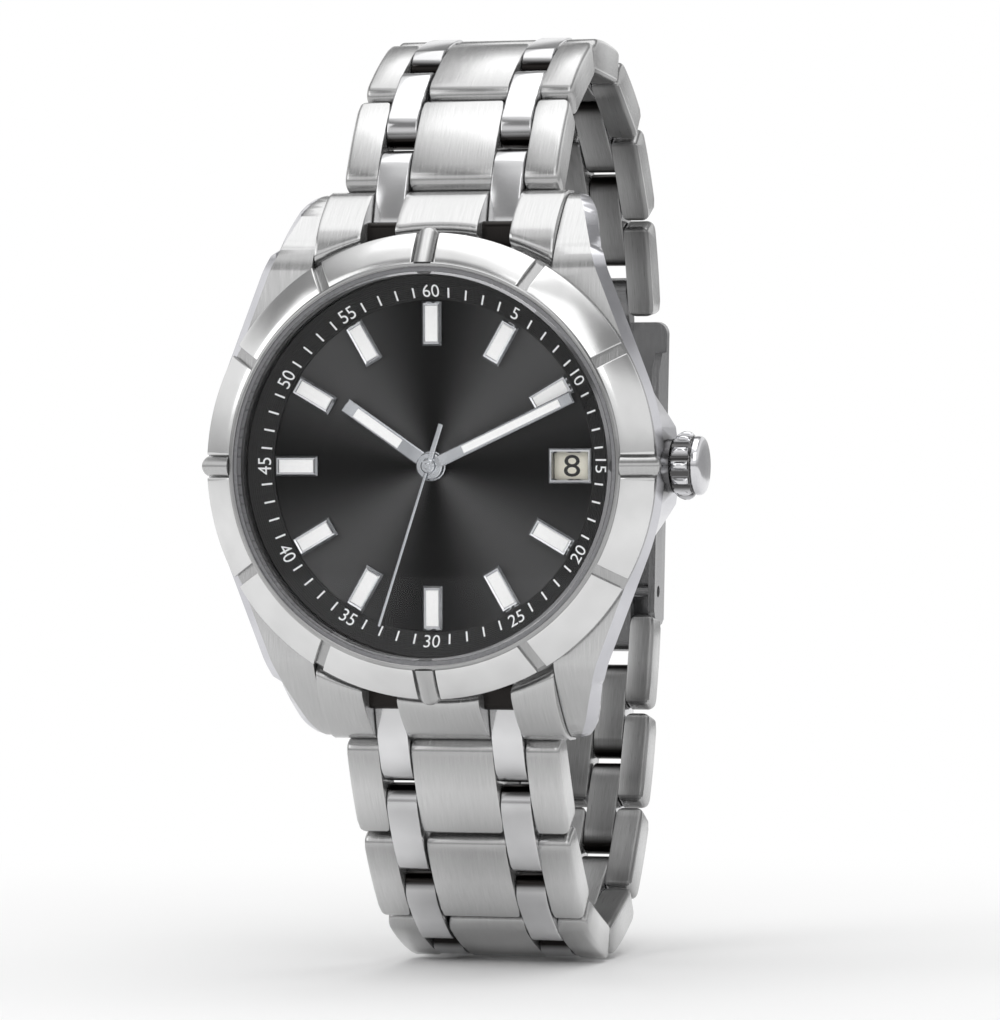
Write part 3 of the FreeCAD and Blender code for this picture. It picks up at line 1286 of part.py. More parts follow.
def make_clasp_outer_blade():
    """Blade hinged at the cover's lower end and reaching up under it."""
    body = new_body("clasp_outer_blade_strip")
    strip = new_sketch(body, "YZ_Plane")
    add_box(strip, "fold_pin_in - blade_thick / 2", "fold_pin_in + blade_thick / 2",
            "-fold_pin_low", "-fold_pin_high")
    pad(body, strip, "2 * blade_half", both_ways=True)
    corners = new_sketch(body, "XZ_Plane")
    notch = "(fold_pin_high + blade_eye + blade_end_gap)"
    add_box(corners, "-2 * blade_half", "-blade_eye_half", f"-{notch}", "0")
    add_box(corners, "blade_eye_half", "2 * blade_half", f"-{notch}", "0")
    pocket(body, corners)
    low_eye = new_sketch(body, "YZ_Plane")
    add_circle(low_eye, "fold_pin_in", "-fold_pin_low", "blade_eye")
    pad(body, low_eye, "2 * blade_half", both_ways=True)
    high_eye = new_sketch(body, "YZ_Plane")
    add_circle(high_eye, "fold_pin_in", "-fold_pin_high", "blade_eye")
    pad(body, high_eye, "2 * blade_eye_half", both_ways=True)
    holes = new_sketch(body, "YZ_Plane")
    add_circle(holes, "fold_pin_in", "-fold_pin_low", "pin_radius + loose_fit")
    add_circle(holes, "fold_pin_in", "-fold_pin_high", "pin_radius + pin_press")
    pocket(body, holes)
    pin = cylinder("clasp_high_pin", "pin_radius", "2 * (blade_half - blade_side_gap)",
                   ("0", "fold_pin_in", "-fold_pin_high"), (1, 0, 0))
    return group("clasp_outer_blade", [body, pin])


def make_clasp_inner_blade():
    """Blade that folds back inside the outer one, its lower eyes at the last bracelet pin."""
    body = new_body("clasp_inner_blade")
    eye_start = "(blade_eye_half + blade_side_gap)"
    notch = "(fold_pin_high + blade_eye + blade_end_gap)"
    strip = new_sketch(body, "YZ_Plane")
    add_box(strip, "inner_blade_in - blade_thick / 2", "inner_blade_in + blade_thick / 2",
            "-inner_blade_end", "-fold_pin_high + blade_lap")
    pad(body, strip, "2 * blade_half", both_ways=True)
    corner = new_sketch(body, "XZ_Plane")
    add_box(corner, f"-{eye_start}", eye_start, f"-{notch}", "0")
    pocket(body, corner)
    for sign in (1, -1):
        knuckle = new_sketch(body, "YZ_Plane", eye_start if sign > 0 else "-blade_half")
        add_loop(knuckle, [
            ("fold_pin_in - blade_eye", "-fold_pin_high", "right"),
            ("fold_pin_in + blade_eye", "-fold_pin_high"),
            ("inner_blade_in + blade_thick / 2", "-fold_pin_high"),
            ("inner_blade_in + blade_thick / 2", "-fold_pin_high - blade_eye"),
            ("fold_pin_in", "-fold_pin_high - blade_eye"),
        ])
        pad(body, knuckle, f"blade_half - {eye_start}")
    near = f"({LAST_CENTRE} / 2 + side_gap)"
    for sign in (1, -1):
        eye = new_sketch(body, "YZ_Plane", tongue_start(near, sign))
        add_loop(eye, [
            ("last_pin_in - last_eye", "-last_pin_along", "left"),
            ("last_pin_in + last_eye", "-last_pin_along"),
            ("inner_blade_in + blade_thick / 2", "-inner_blade_end + blade_arm"),
            ("inner_blade_in - blade_thick / 2", "-inner_blade_end + blade_arm"),
        ])
        pad(body, eye, "pair_wide")
    holes = new_sketch(body, "YZ_Plane")
    add_circle(holes, "fold_pin_in", "-fold_pin_high", "pin_radius + loose_fit")
    add_circle(holes, "last_pin_in", "-last_pin_along", "pin_radius + loose_fit")
    pocket(body, holes)
    return body


# ---------------------------------------------------------------- assembly
def make_spring_bars():
    """Two spring bars that hold the end links between the lugs."""
    bars = [cylinder(f"bar_{count}", "bar_radius", "2 * (lug_gap_half + bar_depth)",
                     ("0", "-bar_level", f"{sign} * bar_z"), (1, 0, 0))
            for count, sign in ((12, 1), (6, -1))]
    return group("spring_bars", bars)


nodes += [
    make_mid_case(), make_bezel(), make_crystal(), make_crystal_gasket(), make_case_back(),
    make_case_back_gasket(), make_flange_ring(), make_dial(), make_hour_markers(),
    make_marker_lume(), make_date_window_frame(), make_date_disc(),
    make_baton_hand("hour", PLATE_TOP, "minute_pipe + loose_fit"), make_hand_lume("hour"),
    make_baton_hand("minute", "plate_level", "seconds_pin + loose_fit"),
    make_hand_lume("minute"), make_seconds_hand(),
    make_crown_tube(), make_crown(), make_crown_gasket(), make_winding_stem(),
    make_movement_ring(), make_main_plate(), make_train_bridge(), make_mainspring_barrel(),
    make_balance_wheel(), make_balance_cock(), make_rotor(), make_spring_bars(),
    make_end_link("end_link_12", 1), make_end_link("end_link_6", -1),
]

turns = close_loop()
for clock, sign, tilts, extra in ((12, 1, UPPER_TILTS, turns[0]), (6, -1, LOWER_TILTS, turns[1])):
    for kind, rank, middle, tilt in walk(bend_tilts(tilts, extra), sign)[0]:
        name = f"{kind}_{clock}_{rank}"
        # The pin that the last lower row shares with the clasp is left out: this is where the
        # closed bracelet is parted.
        parted = sign < 0 and rank == len(LOWER_TILTS)
        if kind == "pair":
            link = make_pair(name, rank - 1)
        else:
            link = make_row(name, rank, (1,) if parted else (-1, 1))
        lay_link(link, middle, tilt, sign)
        nodes.append(link)

top_pin = walk(bend_tilts(UPPER_TILTS, turns[0]), 1)[1]
cover_tilt = COVER_TILT + turns[0]
for clasp in (make_clasp_cover(), make_clasp_outer_blade(), make_clasp_inner_blade()):
    lean = Rotation(Vector(1, 0, 0), 180 - cover_tilt)
    face_out = Rotation(Vector(0, 0, 1), 180)
    clasp.Placement = Placement(Vector(0, top_pin[0], top_pin[1]), lean * face_out)
    nodes.append(clasp)

doc.recompute()

for thing in doc.Objects:
    if "Invalid" in thing.State or "Error" in thing.State:
        raise RuntimeError(f"{thing.Label} failed: {thing.State}")
for node in nodes:
    if node.Shape.isNull() or not node.Shape.isValid():
        raise RuntimeError(f"{node.Label} has no valid shape")

os.makedirs("parts", exist_ok=True)
for node in nodes:
    node.Shape.exportStep(f"parts/{node.Label}.step")
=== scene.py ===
import json
import math

import bmesh
import bpy
from mathutils import Matrix, Vector


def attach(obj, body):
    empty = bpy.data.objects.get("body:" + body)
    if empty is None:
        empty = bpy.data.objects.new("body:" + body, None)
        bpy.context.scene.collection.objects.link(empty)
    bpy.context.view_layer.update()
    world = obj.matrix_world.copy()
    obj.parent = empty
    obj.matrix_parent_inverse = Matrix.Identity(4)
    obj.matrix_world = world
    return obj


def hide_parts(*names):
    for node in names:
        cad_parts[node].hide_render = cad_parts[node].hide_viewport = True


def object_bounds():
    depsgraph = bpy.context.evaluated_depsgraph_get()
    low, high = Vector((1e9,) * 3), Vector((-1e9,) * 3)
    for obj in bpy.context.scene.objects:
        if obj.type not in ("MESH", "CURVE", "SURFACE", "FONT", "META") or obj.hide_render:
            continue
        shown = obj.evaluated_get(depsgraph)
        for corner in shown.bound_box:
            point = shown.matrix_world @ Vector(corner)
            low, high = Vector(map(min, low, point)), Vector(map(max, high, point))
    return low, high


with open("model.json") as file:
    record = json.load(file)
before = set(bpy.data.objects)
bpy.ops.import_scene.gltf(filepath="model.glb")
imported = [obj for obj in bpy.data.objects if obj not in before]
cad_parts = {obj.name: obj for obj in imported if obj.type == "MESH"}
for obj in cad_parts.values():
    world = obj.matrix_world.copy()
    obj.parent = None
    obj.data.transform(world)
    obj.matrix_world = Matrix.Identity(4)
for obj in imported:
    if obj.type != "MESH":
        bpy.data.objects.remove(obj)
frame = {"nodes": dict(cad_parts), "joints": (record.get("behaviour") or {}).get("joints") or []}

cad_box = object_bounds()

# ------ Mid case
# Forged from one block of stainless steel and milled. The lug tops are brushed lengthwise, and a
# polished bevel runs along their outer edges from the lug tips to the crown. All sizes here and
# below are in millimetres, and the dial's middle is the origin of the dial plane.

MILLIMETRE = 0.001
MERGE_GAP = 0.0005
# Painted shade: the colour that the shade attribute darkens surfaces towards, in joints, slots and hollows.
PAINTED_SHADE_DARK = (0.018, 0.016, 0.015, 1)
FINE_GRAIN = (24.0, 0.5, 1.0)
BROAD_GRAIN = (5.0, 0.16, 1.0)

CASE_TOP = 6.7
CASE_HALF = 20.3
SHOULDER_Z = 8.0
SHOULDER_HALF = 18.75
LUG_TIP_HALF = 12.75
LUG_START = 16.6
LUG_TIP = 23.4
LUG_TIP_TOP = 1.3
MILL_START = 18.6
MILL_RADIUS = 9.0
MILL_Z = 27.16
MILL_LEVEL = 9.477
SWEEP_POWER = 1.35
TOP_ROUND_START = 22.1
TOP_ROUND_DROP = 1.1
SIDE_ROUND_START = 21.6
SIDE_ROUND_IN = 1.3
SIDE_ROUND_REACH = (11.2, 12.7)
FLANK_TAPER = 0.30
BAND_WIDE = 0.9
BAND_DEEP = 0.8
BOSS_LEVEL = 4.0
BOSS_RADIUS = 3.2
BOSS_START = 20.0
BOSS_FADE = (3.3, 6.5)
BOSS_CUTS = (3.3, 3.8, 4.3, 4.9, 5.5, 6.5)
LUG_CUTS = (LUG_START, 17.2, 17.8, 18.3, 18.6, 19, 19.5, 20, 20.5, 21, 21.5, 21.9)
TIP_CUTS = (22.2, 22.5, 22.8, 23.0, 23.15, 23.27, 23.35)


def grey(level, blue=0.0):
    """A neutral colour, or a slightly bluer one."""
    return (level, level, level + blue, 1)


def part_way(value, start, end):
    """How far a value has come from start to end, from 0 to 1."""
    return min(1, max(0, (value - start) / (end - start)))


def rounded_off(share):
    """Drop of a quarter round of radius 1, part of the way along it."""
    return 1 - math.sqrt(max(0, 1 - share ** 2))


def new_material(name):
    """A node material and its nodes, links and shader."""
    material = bpy.data.materials.new(name)
    material.use_nodes = True
    tree = material.node_tree
    return material, tree.nodes, tree.links, tree.nodes["Principled BSDF"]


def stretched_noise(nodes, links, output, scale, detail=3.0):
    """Noise on a coordinate output, with its own scale along each axis."""
    mapping = nodes.new("ShaderNodeMapping")
    mapping.inputs["Scale"].default_value = scale
    links.new(output, mapping.inputs["Vector"])
    noise = nodes.new("ShaderNodeTexNoise")
    noise.inputs["Scale"].default_value = 1.0
    noise.inputs["Detail"].default_value = detail
    links.new(mapping.outputs["Vector"], noise.inputs["Vector"])
    return noise.outputs["Fac"]


def solid_noise(nodes, links, scale):
    """Noise through the solid object, of one scale all ways."""
    place = nodes.new("ShaderNodeTexCoord")
    return stretched_noise(nodes, links, place.outputs["Object"], (scale, scale, scale), 2.0)


def ramp(nodes, links, value, dark, light, low=0.3, high=0.7):
    """Colours between dark and light where a value runs from low to high."""
    colours = nodes.new("ShaderNodeValToRGB")
    colours.color_ramp.elements[0].position = low
    colours.color_ramp.elements[0].color = dark
    colours.color_ramp.elements[1].position = high
    colours.color_ramp.elements[1].color = light
    links.new(value, colours.inputs["Fac"])
    return colours.outputs["Color"]


def spread(nodes, links, value, low, high):
    """A noise value, mostly from 0.3 to 0.7, brought to run from low to high."""
    change = nodes.new("ShaderNodeMapRange")
    change.inputs["From Min"].default_value = 0.3
    change.inputs["From Max"].default_value = 0.7
    change.inputs["To Min"].default_value = low
    change.inputs["To Max"].default_value = high
    links.new(value, change.inputs["Value"])
    return change.outputs["Result"]


def relief(nodes, links, shader, value, strength, distance):
    """Bump from a value."""
    bump = nodes.new("ShaderNodeBump")
    bump.inputs["Strength"].default_value = strength
    bump.inputs["Distance"].default_value = distance
    links.new(value, bump.inputs["Height"])
    links.new(bump.outputs["Normal"], shader.inputs["Normal"])


def shaded(nodes, links, colour):
    """A colour darkened towards the painted shade colour by the shade attribute."""
    shade = nodes.new("ShaderNodeAttribute")
    shade.attribute_name = "shade"
    darken = nodes.new("ShaderNodeMix")
    darken.data_type = "RGBA"
    darken.inputs["B"].default_value = PAINTED_SHADE_DARK
    links.new(shade.outputs["Fac"], darken.inputs["Factor"])
    links.new(colour, darken.inputs["A"])
    return darken.outputs["Result"]


def brushed_steel(name, dark, light, rough=(0.17, 0.28)):
    """Steel with fine straight brushing along the second direction of its brush map.

    The shade attribute darkens it with painted shade where links meet and in hollows."""
    material, nodes, links, shader = new_material(name)
    place = nodes.new("ShaderNodeUVMap")
    place.uv_map = "brush"
    fine = stretched_noise(nodes, links, place.outputs["UV"], FINE_GRAIN)
    broad = stretched_noise(nodes, links, place.outputs["UV"], BROAD_GRAIN, 2.0)
    both = nodes.new("ShaderNodeMix")
    both.inputs["Factor"].default_value = 0.25
    links.new(fine, both.inputs["A"])
    links.new(broad, both.inputs["B"])
    grain = both.outputs["Result"]
    steel = ramp(nodes, links, grain, dark, light)
    links.new(shaded(nodes, links, steel), shader.inputs["Base Color"])
    links.new(spread(nodes, links, grain, *rough), shader.inputs["Roughness"])
    relief(nodes, links, shader, fine, 0.10, 0.00001)
    grain_line = nodes.new("ShaderNodeTangent")
    grain_line.direction_type = "UV_MAP"
    grain_line.uv_map = "brush"
    links.new(grain_line.outputs["Tangent"], shader.inputs["Tangent"])
    shader.inputs["Metallic"].default_value = 0.85
    shader.inputs["Anisotropic"].default_value = 0.7
    return material


def polished_steel(name, dark, light, rough):
    """Polished steel with the faint unevenness that hand polishing leaves."""
    material, nodes, links, shader = new_material(name)
    cloud = solid_noise(nodes, links, 260)
    steel = ramp(nodes, links, cloud, dark, light)
    # The shade attribute blends in painted shade here as well.
    links.new(shaded(nodes, links, steel), shader.inputs["Base Color"])
    links.new(spread(nodes, links, cloud, *rough), shader.inputs["Roughness"])
    relief(nodes, links, shader, cloud, 0.05, 0.0001)
    shader.inputs["Metallic"].default_value = 0.95
    return material


def resize(bm, x, y, z):
    """Scales a whole mesh along its axes."""
    bmesh.ops.scale(bm, vec=(x, y, z), verts=bm.verts)


def cad_mesh(node):
    """A node's own shape in millimetres, with its loose triangles joined into faces."""
    bm = bmesh.new()
    bm.from_mesh(frame["nodes"][node].data)
    resize(bm, 1 / MILLIMETRE, 1 / MILLIMETRE, 1 / MILLIMETRE)
    bmesh.ops.remove_doubles(bm, verts=bm.verts, dist=MERGE_GAP)
    bmesh.ops.dissolve_limit(bm, angle_limit=math.radians(0.6), verts=bm.verts, edges=bm.edges)
    return bm


def slice_at(bm, point, across, clear=False):
    """Cuts a mesh along a plane, and takes away what is behind the plane if asked."""
    geom = bm.verts[:] + bm.edges[:] + bm.faces[:]
    bmesh.ops.bisect_plane(bm, geom=geom, plane_co=point, plane_no=across, clear_inner=clear)


def brush_map(bm, shift=0.0):
    """Lays the brush map: across the brushing, and along it."""
    layer = bm.loops.layers.uv.new("brush")
    bm.normal_update()
    for face in bm.faces:
        sideways = abs(face.normal.x) > 0.7
        for loop in face.loops:
            x, y, z = loop.vert.co
            loop[layer].uv = ((y if sideways else x) + shift, z + 3 * shift)


def made_object(bm, name, materials):
    """An object in the scene made of a mesh, which is let go."""
    mesh = bpy.data.meshes.new(name)
    bm.to_mesh(mesh)
    bm.free()
    for material in materials:
        mesh.materials.append(material)
    made = bpy.data.objects.new(name, mesh)
    bpy.context.collection.objects.link(made)
    return made


def put(bm, name, body, materials, replaced=(), crease=35):
    """Makes a piece of a mesh drawn in millimetres, riding on a body."""
    resize(bm, MILLIMETRE, MILLIMETRE, MILLIMETRE)
    bm.normal_update()
    for face in bm.faces:
        face.smooth = True
    for edge in bm.edges:
        if len(edge.link_faces) != 2 or edge.calc_face_angle(0) > math.radians(crease):
            edge.smooth = False
    piece = made_object(bm, name, materials)
    if replaced:
        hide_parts(*replaced)
    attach(piece, body)


def milled_top(z):
    """Level of the lug top as first milled: flat, then a hollow round down to the tip."""
    if z < MILL_START:
        return CASE_TOP
    return MILL_LEVEL - math.sqrt(max(0, MILL_RADIUS ** 2 - (MILL_Z - z) ** 2))


def finished_top(z):
    """Level of the lug top after its long soft sweep and rounded tip are ground."""
    sweep = part_way(z, LUG_START, LUG_TIP) ** SWEEP_POWER
    tip = rounded_off(part_way(z, TOP_ROUND_START, LUG_TIP))
    return CASE_TOP - (CASE_TOP - LUG_TIP_TOP) * sweep - TOP_ROUND_DROP * tip


def flank_half(z):
    """Half width of the case to its outer flank at a height on the dial plane."""
    if z < SHOULDER_Z:
        return CASE_HALF - (CASE_HALF - SHOULDER_HALF) * (z / SHOULDER_Z) ** 2
    return SHOULDER_HALF - (SHOULDER_HALF - LUG_TIP_HALF) * (z - SHOULDER_Z) / (LUG_TIP - SHOULDER_Z)


case_brushed = brushed_steel("case_brushed_steel", grey(0.46), grey(0.58))
case_polished = polished_steel("case_polished_steel", grey(0.56, 0.03), grey(0.66, 0.03), (0.16, 0.24))

bm = cad_mesh("mid_case")
cuts = BOSS_CUTS + LUG_CUTS + TIP_CUTS
for cut in cuts + tuple(-cut for cut in cuts):
    slice_at(bm, (0, 0, cut), (0, 0, 1))
for face in bm.faces:
    middle = face.calc_center_median()
    face.material_index = 1 if abs(middle.x) > flank_half(abs(middle.z)) - BAND_WIDE else 0
for v in bm.verts:
    z = abs(v.co.z)
    flank = flank_half(z)
    ridge = (milled_top(z) if z > LUG_START else CASE_TOP) - BAND_DEEP
    outer = part_way(abs(v.co.x), flank - 1.0, flank - 0.3)
    past_boss = part_way(z, *BOSS_FADE) if v.co.x > 0 else 1
    v.co.x -= math.copysign(FLANK_TAPER * past_boss * outer * max(0, ridge + v.co.y), v.co.x)
    if z > LUG_START:
        raised = min(1, max(0, (-v.co.y - 0.2) / max(0.3, milled_top(z) - 1.0)))
        v.co.y -= (finished_top(z) - milled_top(z)) * raised
        reach = part_way(abs(v.co.x), *SIDE_ROUND_REACH)
        tip = rounded_off(part_way(z, SIDE_ROUND_START, LUG_TIP))
        v.co.x -= math.copysign(SIDE_ROUND_IN * reach * tip, v.co.x)
# Painted shade: the boss round the crown is darkened in the colour through the shade attribute.
shade = bm.verts.layers.float.new("shade")
for v in bm.verts:
    boss_in_painted_shade = v.co.x > BOSS_START and math.hypot(v.co.y + BOSS_LEVEL, v.co.z) < BOSS_RADIUS
    v[shade] = 0.85 if boss_in_painted_shade else 0.0
brush_map(bm)
put(bm, "case_middle", "watch_head", [case_brushed, case_polished], ["mid_case"])

# ------ Movement
# An automatic movement on a rhodium-plated main plate. Its bridges are striped, the barrel and the
# balance are gilt, and a brass ring holds it in the case.

# A wave texture of scale 1 repeats every 0.314 m.
WAVE_PITCH = 0.314


def striped_plate(name, dark, light, pitch):
    """Plated brass with straight decorating stripes, a pitch in metres apart."""
    material, nodes, links, shader = new_material(name)
    place = nodes.new("ShaderNodeTexCoord")
    stripes = nodes.new("ShaderNodeTexWave")
    stripes.wave_profile = "SAW"
    stripes.inputs["Scale"].default_value = WAVE_PITCH / pitch
    stripes.inputs["Distortion"].default_value = 0.4
    stripes.inputs["Detail"].default_value = 1.0
    links.new(place.outputs["Object"], stripes.inputs["Vector"])
    links.new(ramp(nodes, links, stripes.outputs["Fac"], dark, light), shader.inputs["Base Color"])
    links.new(spread(nodes, links, stripes.outputs["Fac"], 0.22, 0.34), shader.inputs["Roughness"])
    relief(nodes, links, shader, stripes.outputs["Fac"], 0.2, 0.00002)
    shader.inputs["Metallic"].default_value = 0.9
    return material


def dress(node, material):
    """Gives a CAD node a material."""
    for place in frame["nodes"][node].material_slots:
        place.material = material


rhodium = striped_plate("rhodium_stripes", grey(0.50, 0.01), grey(0.68, 0.01), 0.0009)
gilt = striped_plate("gilt_brass", (0.58, 0.43, 0.20, 1), (0.72, 0.56, 0.29, 1), 0.0006)
for node in ("main_plate", "train_bridge", "balance_cock", "rotor"):
    dress(node, rhodium)
for node in ("movement_ring", "mainspring_barrel", "balance_wheel"):
    dress(node, gilt)

turned_steel = polished_steel("turned_steel", grey(0.60, 0.02), grey(0.72, 0.02), (0.15, 0.25))
for node in ("winding_stem", "crown_tube", "spring_bars"):
    dress(node, turned_steel)

# ------ Case back and seals
# A steel back with a brushed face screws into the case from behind. Moulded rings keep water out:
# rubber ones at the back and the crown, and a nylon one round the crystal.


def moulded(name, dark, light, rough):
    """Moulded plastic, rubber or print with a fine dull grain."""
    material, nodes, links, shader = new_material(name)
    grain = solid_noise(nodes, links, 4000)
    links.new(ramp(nodes, links, grain, dark, light), shader.inputs["Base Color"])
    relief(nodes, links, shader, grain, 0.1, 0.00002)
    shader.inputs["Roughness"].default_value = rough
    return material


rubber = moulded("seal_rubber_black", grey(0.015, 0.001), grey(0.035, 0.001), 0.7)
nylon = moulded("seal_nylon_grey", grey(0.20, 0.01), grey(0.27, 0.01), 0.4)
for node in ("case_back_gasket", "crown_gasket"):
    dress(node, rubber)
dress("crystal_gasket", nylon)

bm = cad_mesh("case_back")
brush_map(bm)
put(bm, "case_back_screwed", "watch_head", [case_brushed], ["case_back"], crease=12)

# ------ Date disc
# A cream enamelled disc with a printed number for each day of the month. The movement turns it
# under the dial, one number a day.

DATE_RADIUS = 12.15
DATE_DISC_TOP = 5.75
DATE_TALL = 1.85
DATES = 31
DATE_SHOWN = 8
PRINT_LIFT = 0.02
FIGURE_SHARE = 0.73


def move(bm, x, y, z):
    """Moves a whole mesh."""
    bmesh.ops.translate(bm, vec=(x, y, z), verts=bm.verts)


def turn_mesh(bm, angle, axis):
    """Turns a whole mesh about an axis through the origin."""
    bmesh.ops.rotate(bm, cent=(0, 0, 0), matrix=Matrix.Rotation(angle, 3, axis), verts=bm.verts)


def clockwise(bm, degrees):
    """Turns a mesh clockwise round the dial's middle."""
    turn_mesh(bm, math.radians(degrees), "Y")


def text_mesh(words, tall, wide=1.0):
    """Figures as a flat mesh, centred, facing the front with their tops up."""
    curve = bpy.data.curves.new("figures", "FONT")
    curve.body = words
    curve.size = tall / FIGURE_SHARE
    curve.align_x = "CENTER"
    curve.align_y = "CENTER"
    curve.resolution_u = 4
    holder = bpy.data.objects.new("figures", curve)
    bpy.context.collection.objects.link(holder)
    mesh = bpy.data.meshes.new_from_object(holder)
    bpy.data.objects.remove(holder)
    bm = bmesh.new()
    bm.from_mesh(mesh)
    bpy.data.meshes.remove(mesh)
    xs = [v.co.x for v in bm.verts]
    ys = [v.co.y for v in bm.verts]
    move(bm, -(min(xs) + max(xs)) / 2, -(min(ys) + max(ys)) / 2, 0)
    resize(bm, wide, tall / (max(ys) - min(ys)), 1)
    turn_mesh(bm, math.radians(90), "X")
    return bm


def add_mesh(bm, other):
    """Adds another mesh to a mesh, and lets the other go."""
    mesh = bpy.data.meshes.new("part")
    other.to_mesh(mesh)
    other.free()
    bm.from_mesh(mesh)
    bpy.data.meshes.remove(mesh)


cream = moulded("date_cream_enamel", (0.80, 0.77, 0.66, 1), (0.85, 0.82, 0.71, 1), 0.45)
print_black = moulded("black_print", grey(0.012), grey(0.02), 0.5)
dress("date_disc", cream)

bm = bmesh.new()
for day in range(1, DATES + 1):
    figure = text_mesh(str(day), DATE_TALL, 1.3 if day < 10 else 0.9)
    move(figure, DATE_RADIUS, -DATE_DISC_TOP - PRINT_LIFT, 0)
    clockwise(figure, (day - DATE_SHOWN) * 360 / DATES)
    add_mesh(bm, figure)
put(bm, "date_figures", "date_disc", [print_black])

# ------ Dial
# A brass disc brushed outwards from its middle and lacquered black. Its light diagonal wedges are partly
# real sheen from the brushing under the lamps and partly painted sheen in its colour.
# It is pierced for the hands and for the date.


def worked_out(nodes, links, operation, *values):
    """A sum worked out on values, each a number or an output."""
    step = nodes.new("ShaderNodeMath")
    step.operation = operation
    for value, socket in zip(values, step.inputs):
        if isinstance(value, float):
            socket.default_value = value
        else:
            links.new(value, socket)
    return step.outputs["Value"]


def sunburst(name, dark, light):
    """Black-lacquered radial brushing, with a painted sheen: four lighter diagonal wedges painted into its
    colour.
    """
    material, nodes, links, shader = new_material(name)
    place = nodes.new("ShaderNodeTexCoord")
    parts = nodes.new("ShaderNodeSeparateXYZ")
    links.new(place.outputs["Object"], parts.inputs["Vector"])
    angle = worked_out(nodes, links, "ARCTAN2", parts.outputs["X"], parts.outputs["Z"])
    ring = nodes.new("ShaderNodeCombineXYZ")
    links.new(angle, ring.inputs["X"])
    rays = stretched_noise(nodes, links, ring.outputs["Vector"], (150, 1, 1), 4.0)
    # Painted sheen: the colour is lighter at the four diagonals, from the cosine of four times the angle.
    sheen_swing = worked_out(nodes, links, "COSINE", worked_out(nodes, links, "MULTIPLY", angle, 4.0))
    painted_sheen_sectors = nodes.new("ShaderNodeMapRange")
    painted_sheen_sectors.inputs["From Min"].default_value = 1.0
    painted_sheen_sectors.inputs["From Max"].default_value = -1.0
    links.new(sheen_swing, painted_sheen_sectors.inputs["Value"])
    both = nodes.new("ShaderNodeMix")
    both.inputs["Factor"].default_value = 0.3
    links.new(painted_sheen_sectors.outputs["Result"], both.inputs["A"])
    links.new(rays, both.inputs["B"])
    lacquer_and_painted_sheen = ramp(nodes, links, both.outputs["Result"], dark, light, 0.15, 0.9)
    links.new(lacquer_and_painted_sheen, shader.inputs["Base Color"])
    links.new(spread(nodes, links, rays, 0.40, 0.50), shader.inputs["Roughness"])
    grain_line = nodes.new("ShaderNodeTangent")
    grain_line.direction_type = "RADIAL"
    grain_line.axis = "Y"
    links.new(grain_line.outputs["Tangent"], shader.inputs["Tangent"])
    shader.inputs["Metallic"].default_value = 0.9
    shader.inputs["Anisotropic"].default_value = 0.9
    return material


dress("dial", sunburst("dial_black_sunburst", grey(0.009), grey(0.085, 0.001)))

# ------ Flange ring
# A black ring between dial and crystal, its slope turned with fine grooves. It is printed with a
# tick for each minute and a number for each five.

FLANGE_IN = (14.2, 6.45)
FLANGE_OUT = (16.3, 7.35)
FLANGE_BACK = [(16.3, 5.9), (14.85, 5.9), (14.85, 6.32), (14.2, 6.32)]
FLANGE_GROOVES = 13
FLANGE_GROOVE = ((0.0, 0), (0.55, 0), (0.7, 1), (0.9, 1))
FLANGE_GROOVE_DEEP = 0.035
TICK_START = 14.38
TICK_END = 15.3
TICK_WIDE = 0.16
MINUTE_RADIUS = 14.95
MINUTE_TALL = 1.15


def closed_outline(bm, points):
    """Draws a closed outline through points, and gives its corners and edges."""
    corners = [bm.verts.new(point) for point in points]
    return corners + [bm.edges.new((a, b)) for a, b in zip(corners, corners[1:] + corners[:1])]


def spin_round(bm, points, axis, steps):
    """Spins a closed outline right round an axis, and joins its seam and its poles."""
    outline = closed_outline(bm, points)
    bmesh.ops.spin(
        bm, geom=outline, cent=(0, 0, 0), axis=axis, angle=math.tau, steps=steps, use_merge=True
    )
    bmesh.ops.remove_doubles(bm, verts=bm.verts, dist=MERGE_GAP)
    bmesh.ops.recalc_face_normals(bm, faces=bm.faces)


def turn_profile(bm, points, steps=180):
    """Spins a closed outline of (radius, level) points about the dial's axis."""
    spin_round(bm, [(radius, -level, 0) for radius, level in points], (0, 1, 0), steps)


def flange_level(radius):
    """Level of the flange ring's face at a radius."""
    share = (radius - FLANGE_IN[0]) / (FLANGE_OUT[0] - FLANGE_IN[0])
    return FLANGE_IN[1] + share * (FLANGE_OUT[1] - FLANGE_IN[1])


def lay_on_flange(bm, radius):
    """Tilts a flat mesh to the flange ring's slope, and sets it on the ring at 12 o'clock."""
    slope = math.atan2(FLANGE_OUT[1] - FLANGE_IN[1], FLANGE_OUT[0] - FLANGE_IN[0])
    turn_mesh(bm, slope, "X")
    move(bm, 0, -flange_level(radius) - PRINT_LIFT, radius)


flange_black = moulded("flange_black_matte", grey(0.003), grey(0.010), 0.6)
print_white = moulded("white_print", (0.86, 0.87, 0.88, 1), (0.92, 0.93, 0.94, 1), 0.5)

bm = bmesh.new()
face_points = []
for groove in range(FLANGE_GROOVES):
    for share, sunk in FLANGE_GROOVE:
        radius = FLANGE_IN[0] + (groove + share) / FLANGE_GROOVES * (FLANGE_OUT[0] - FLANGE_IN[0])
        face_points.append((radius, flange_level(radius) - sunk * FLANGE_GROOVE_DEEP))
turn_profile(bm, face_points + [FLANGE_OUT] + FLANGE_BACK)
put(bm, "flange_ring_grooved", "watch_head", [flange_black], ["flange_ring"], 50)

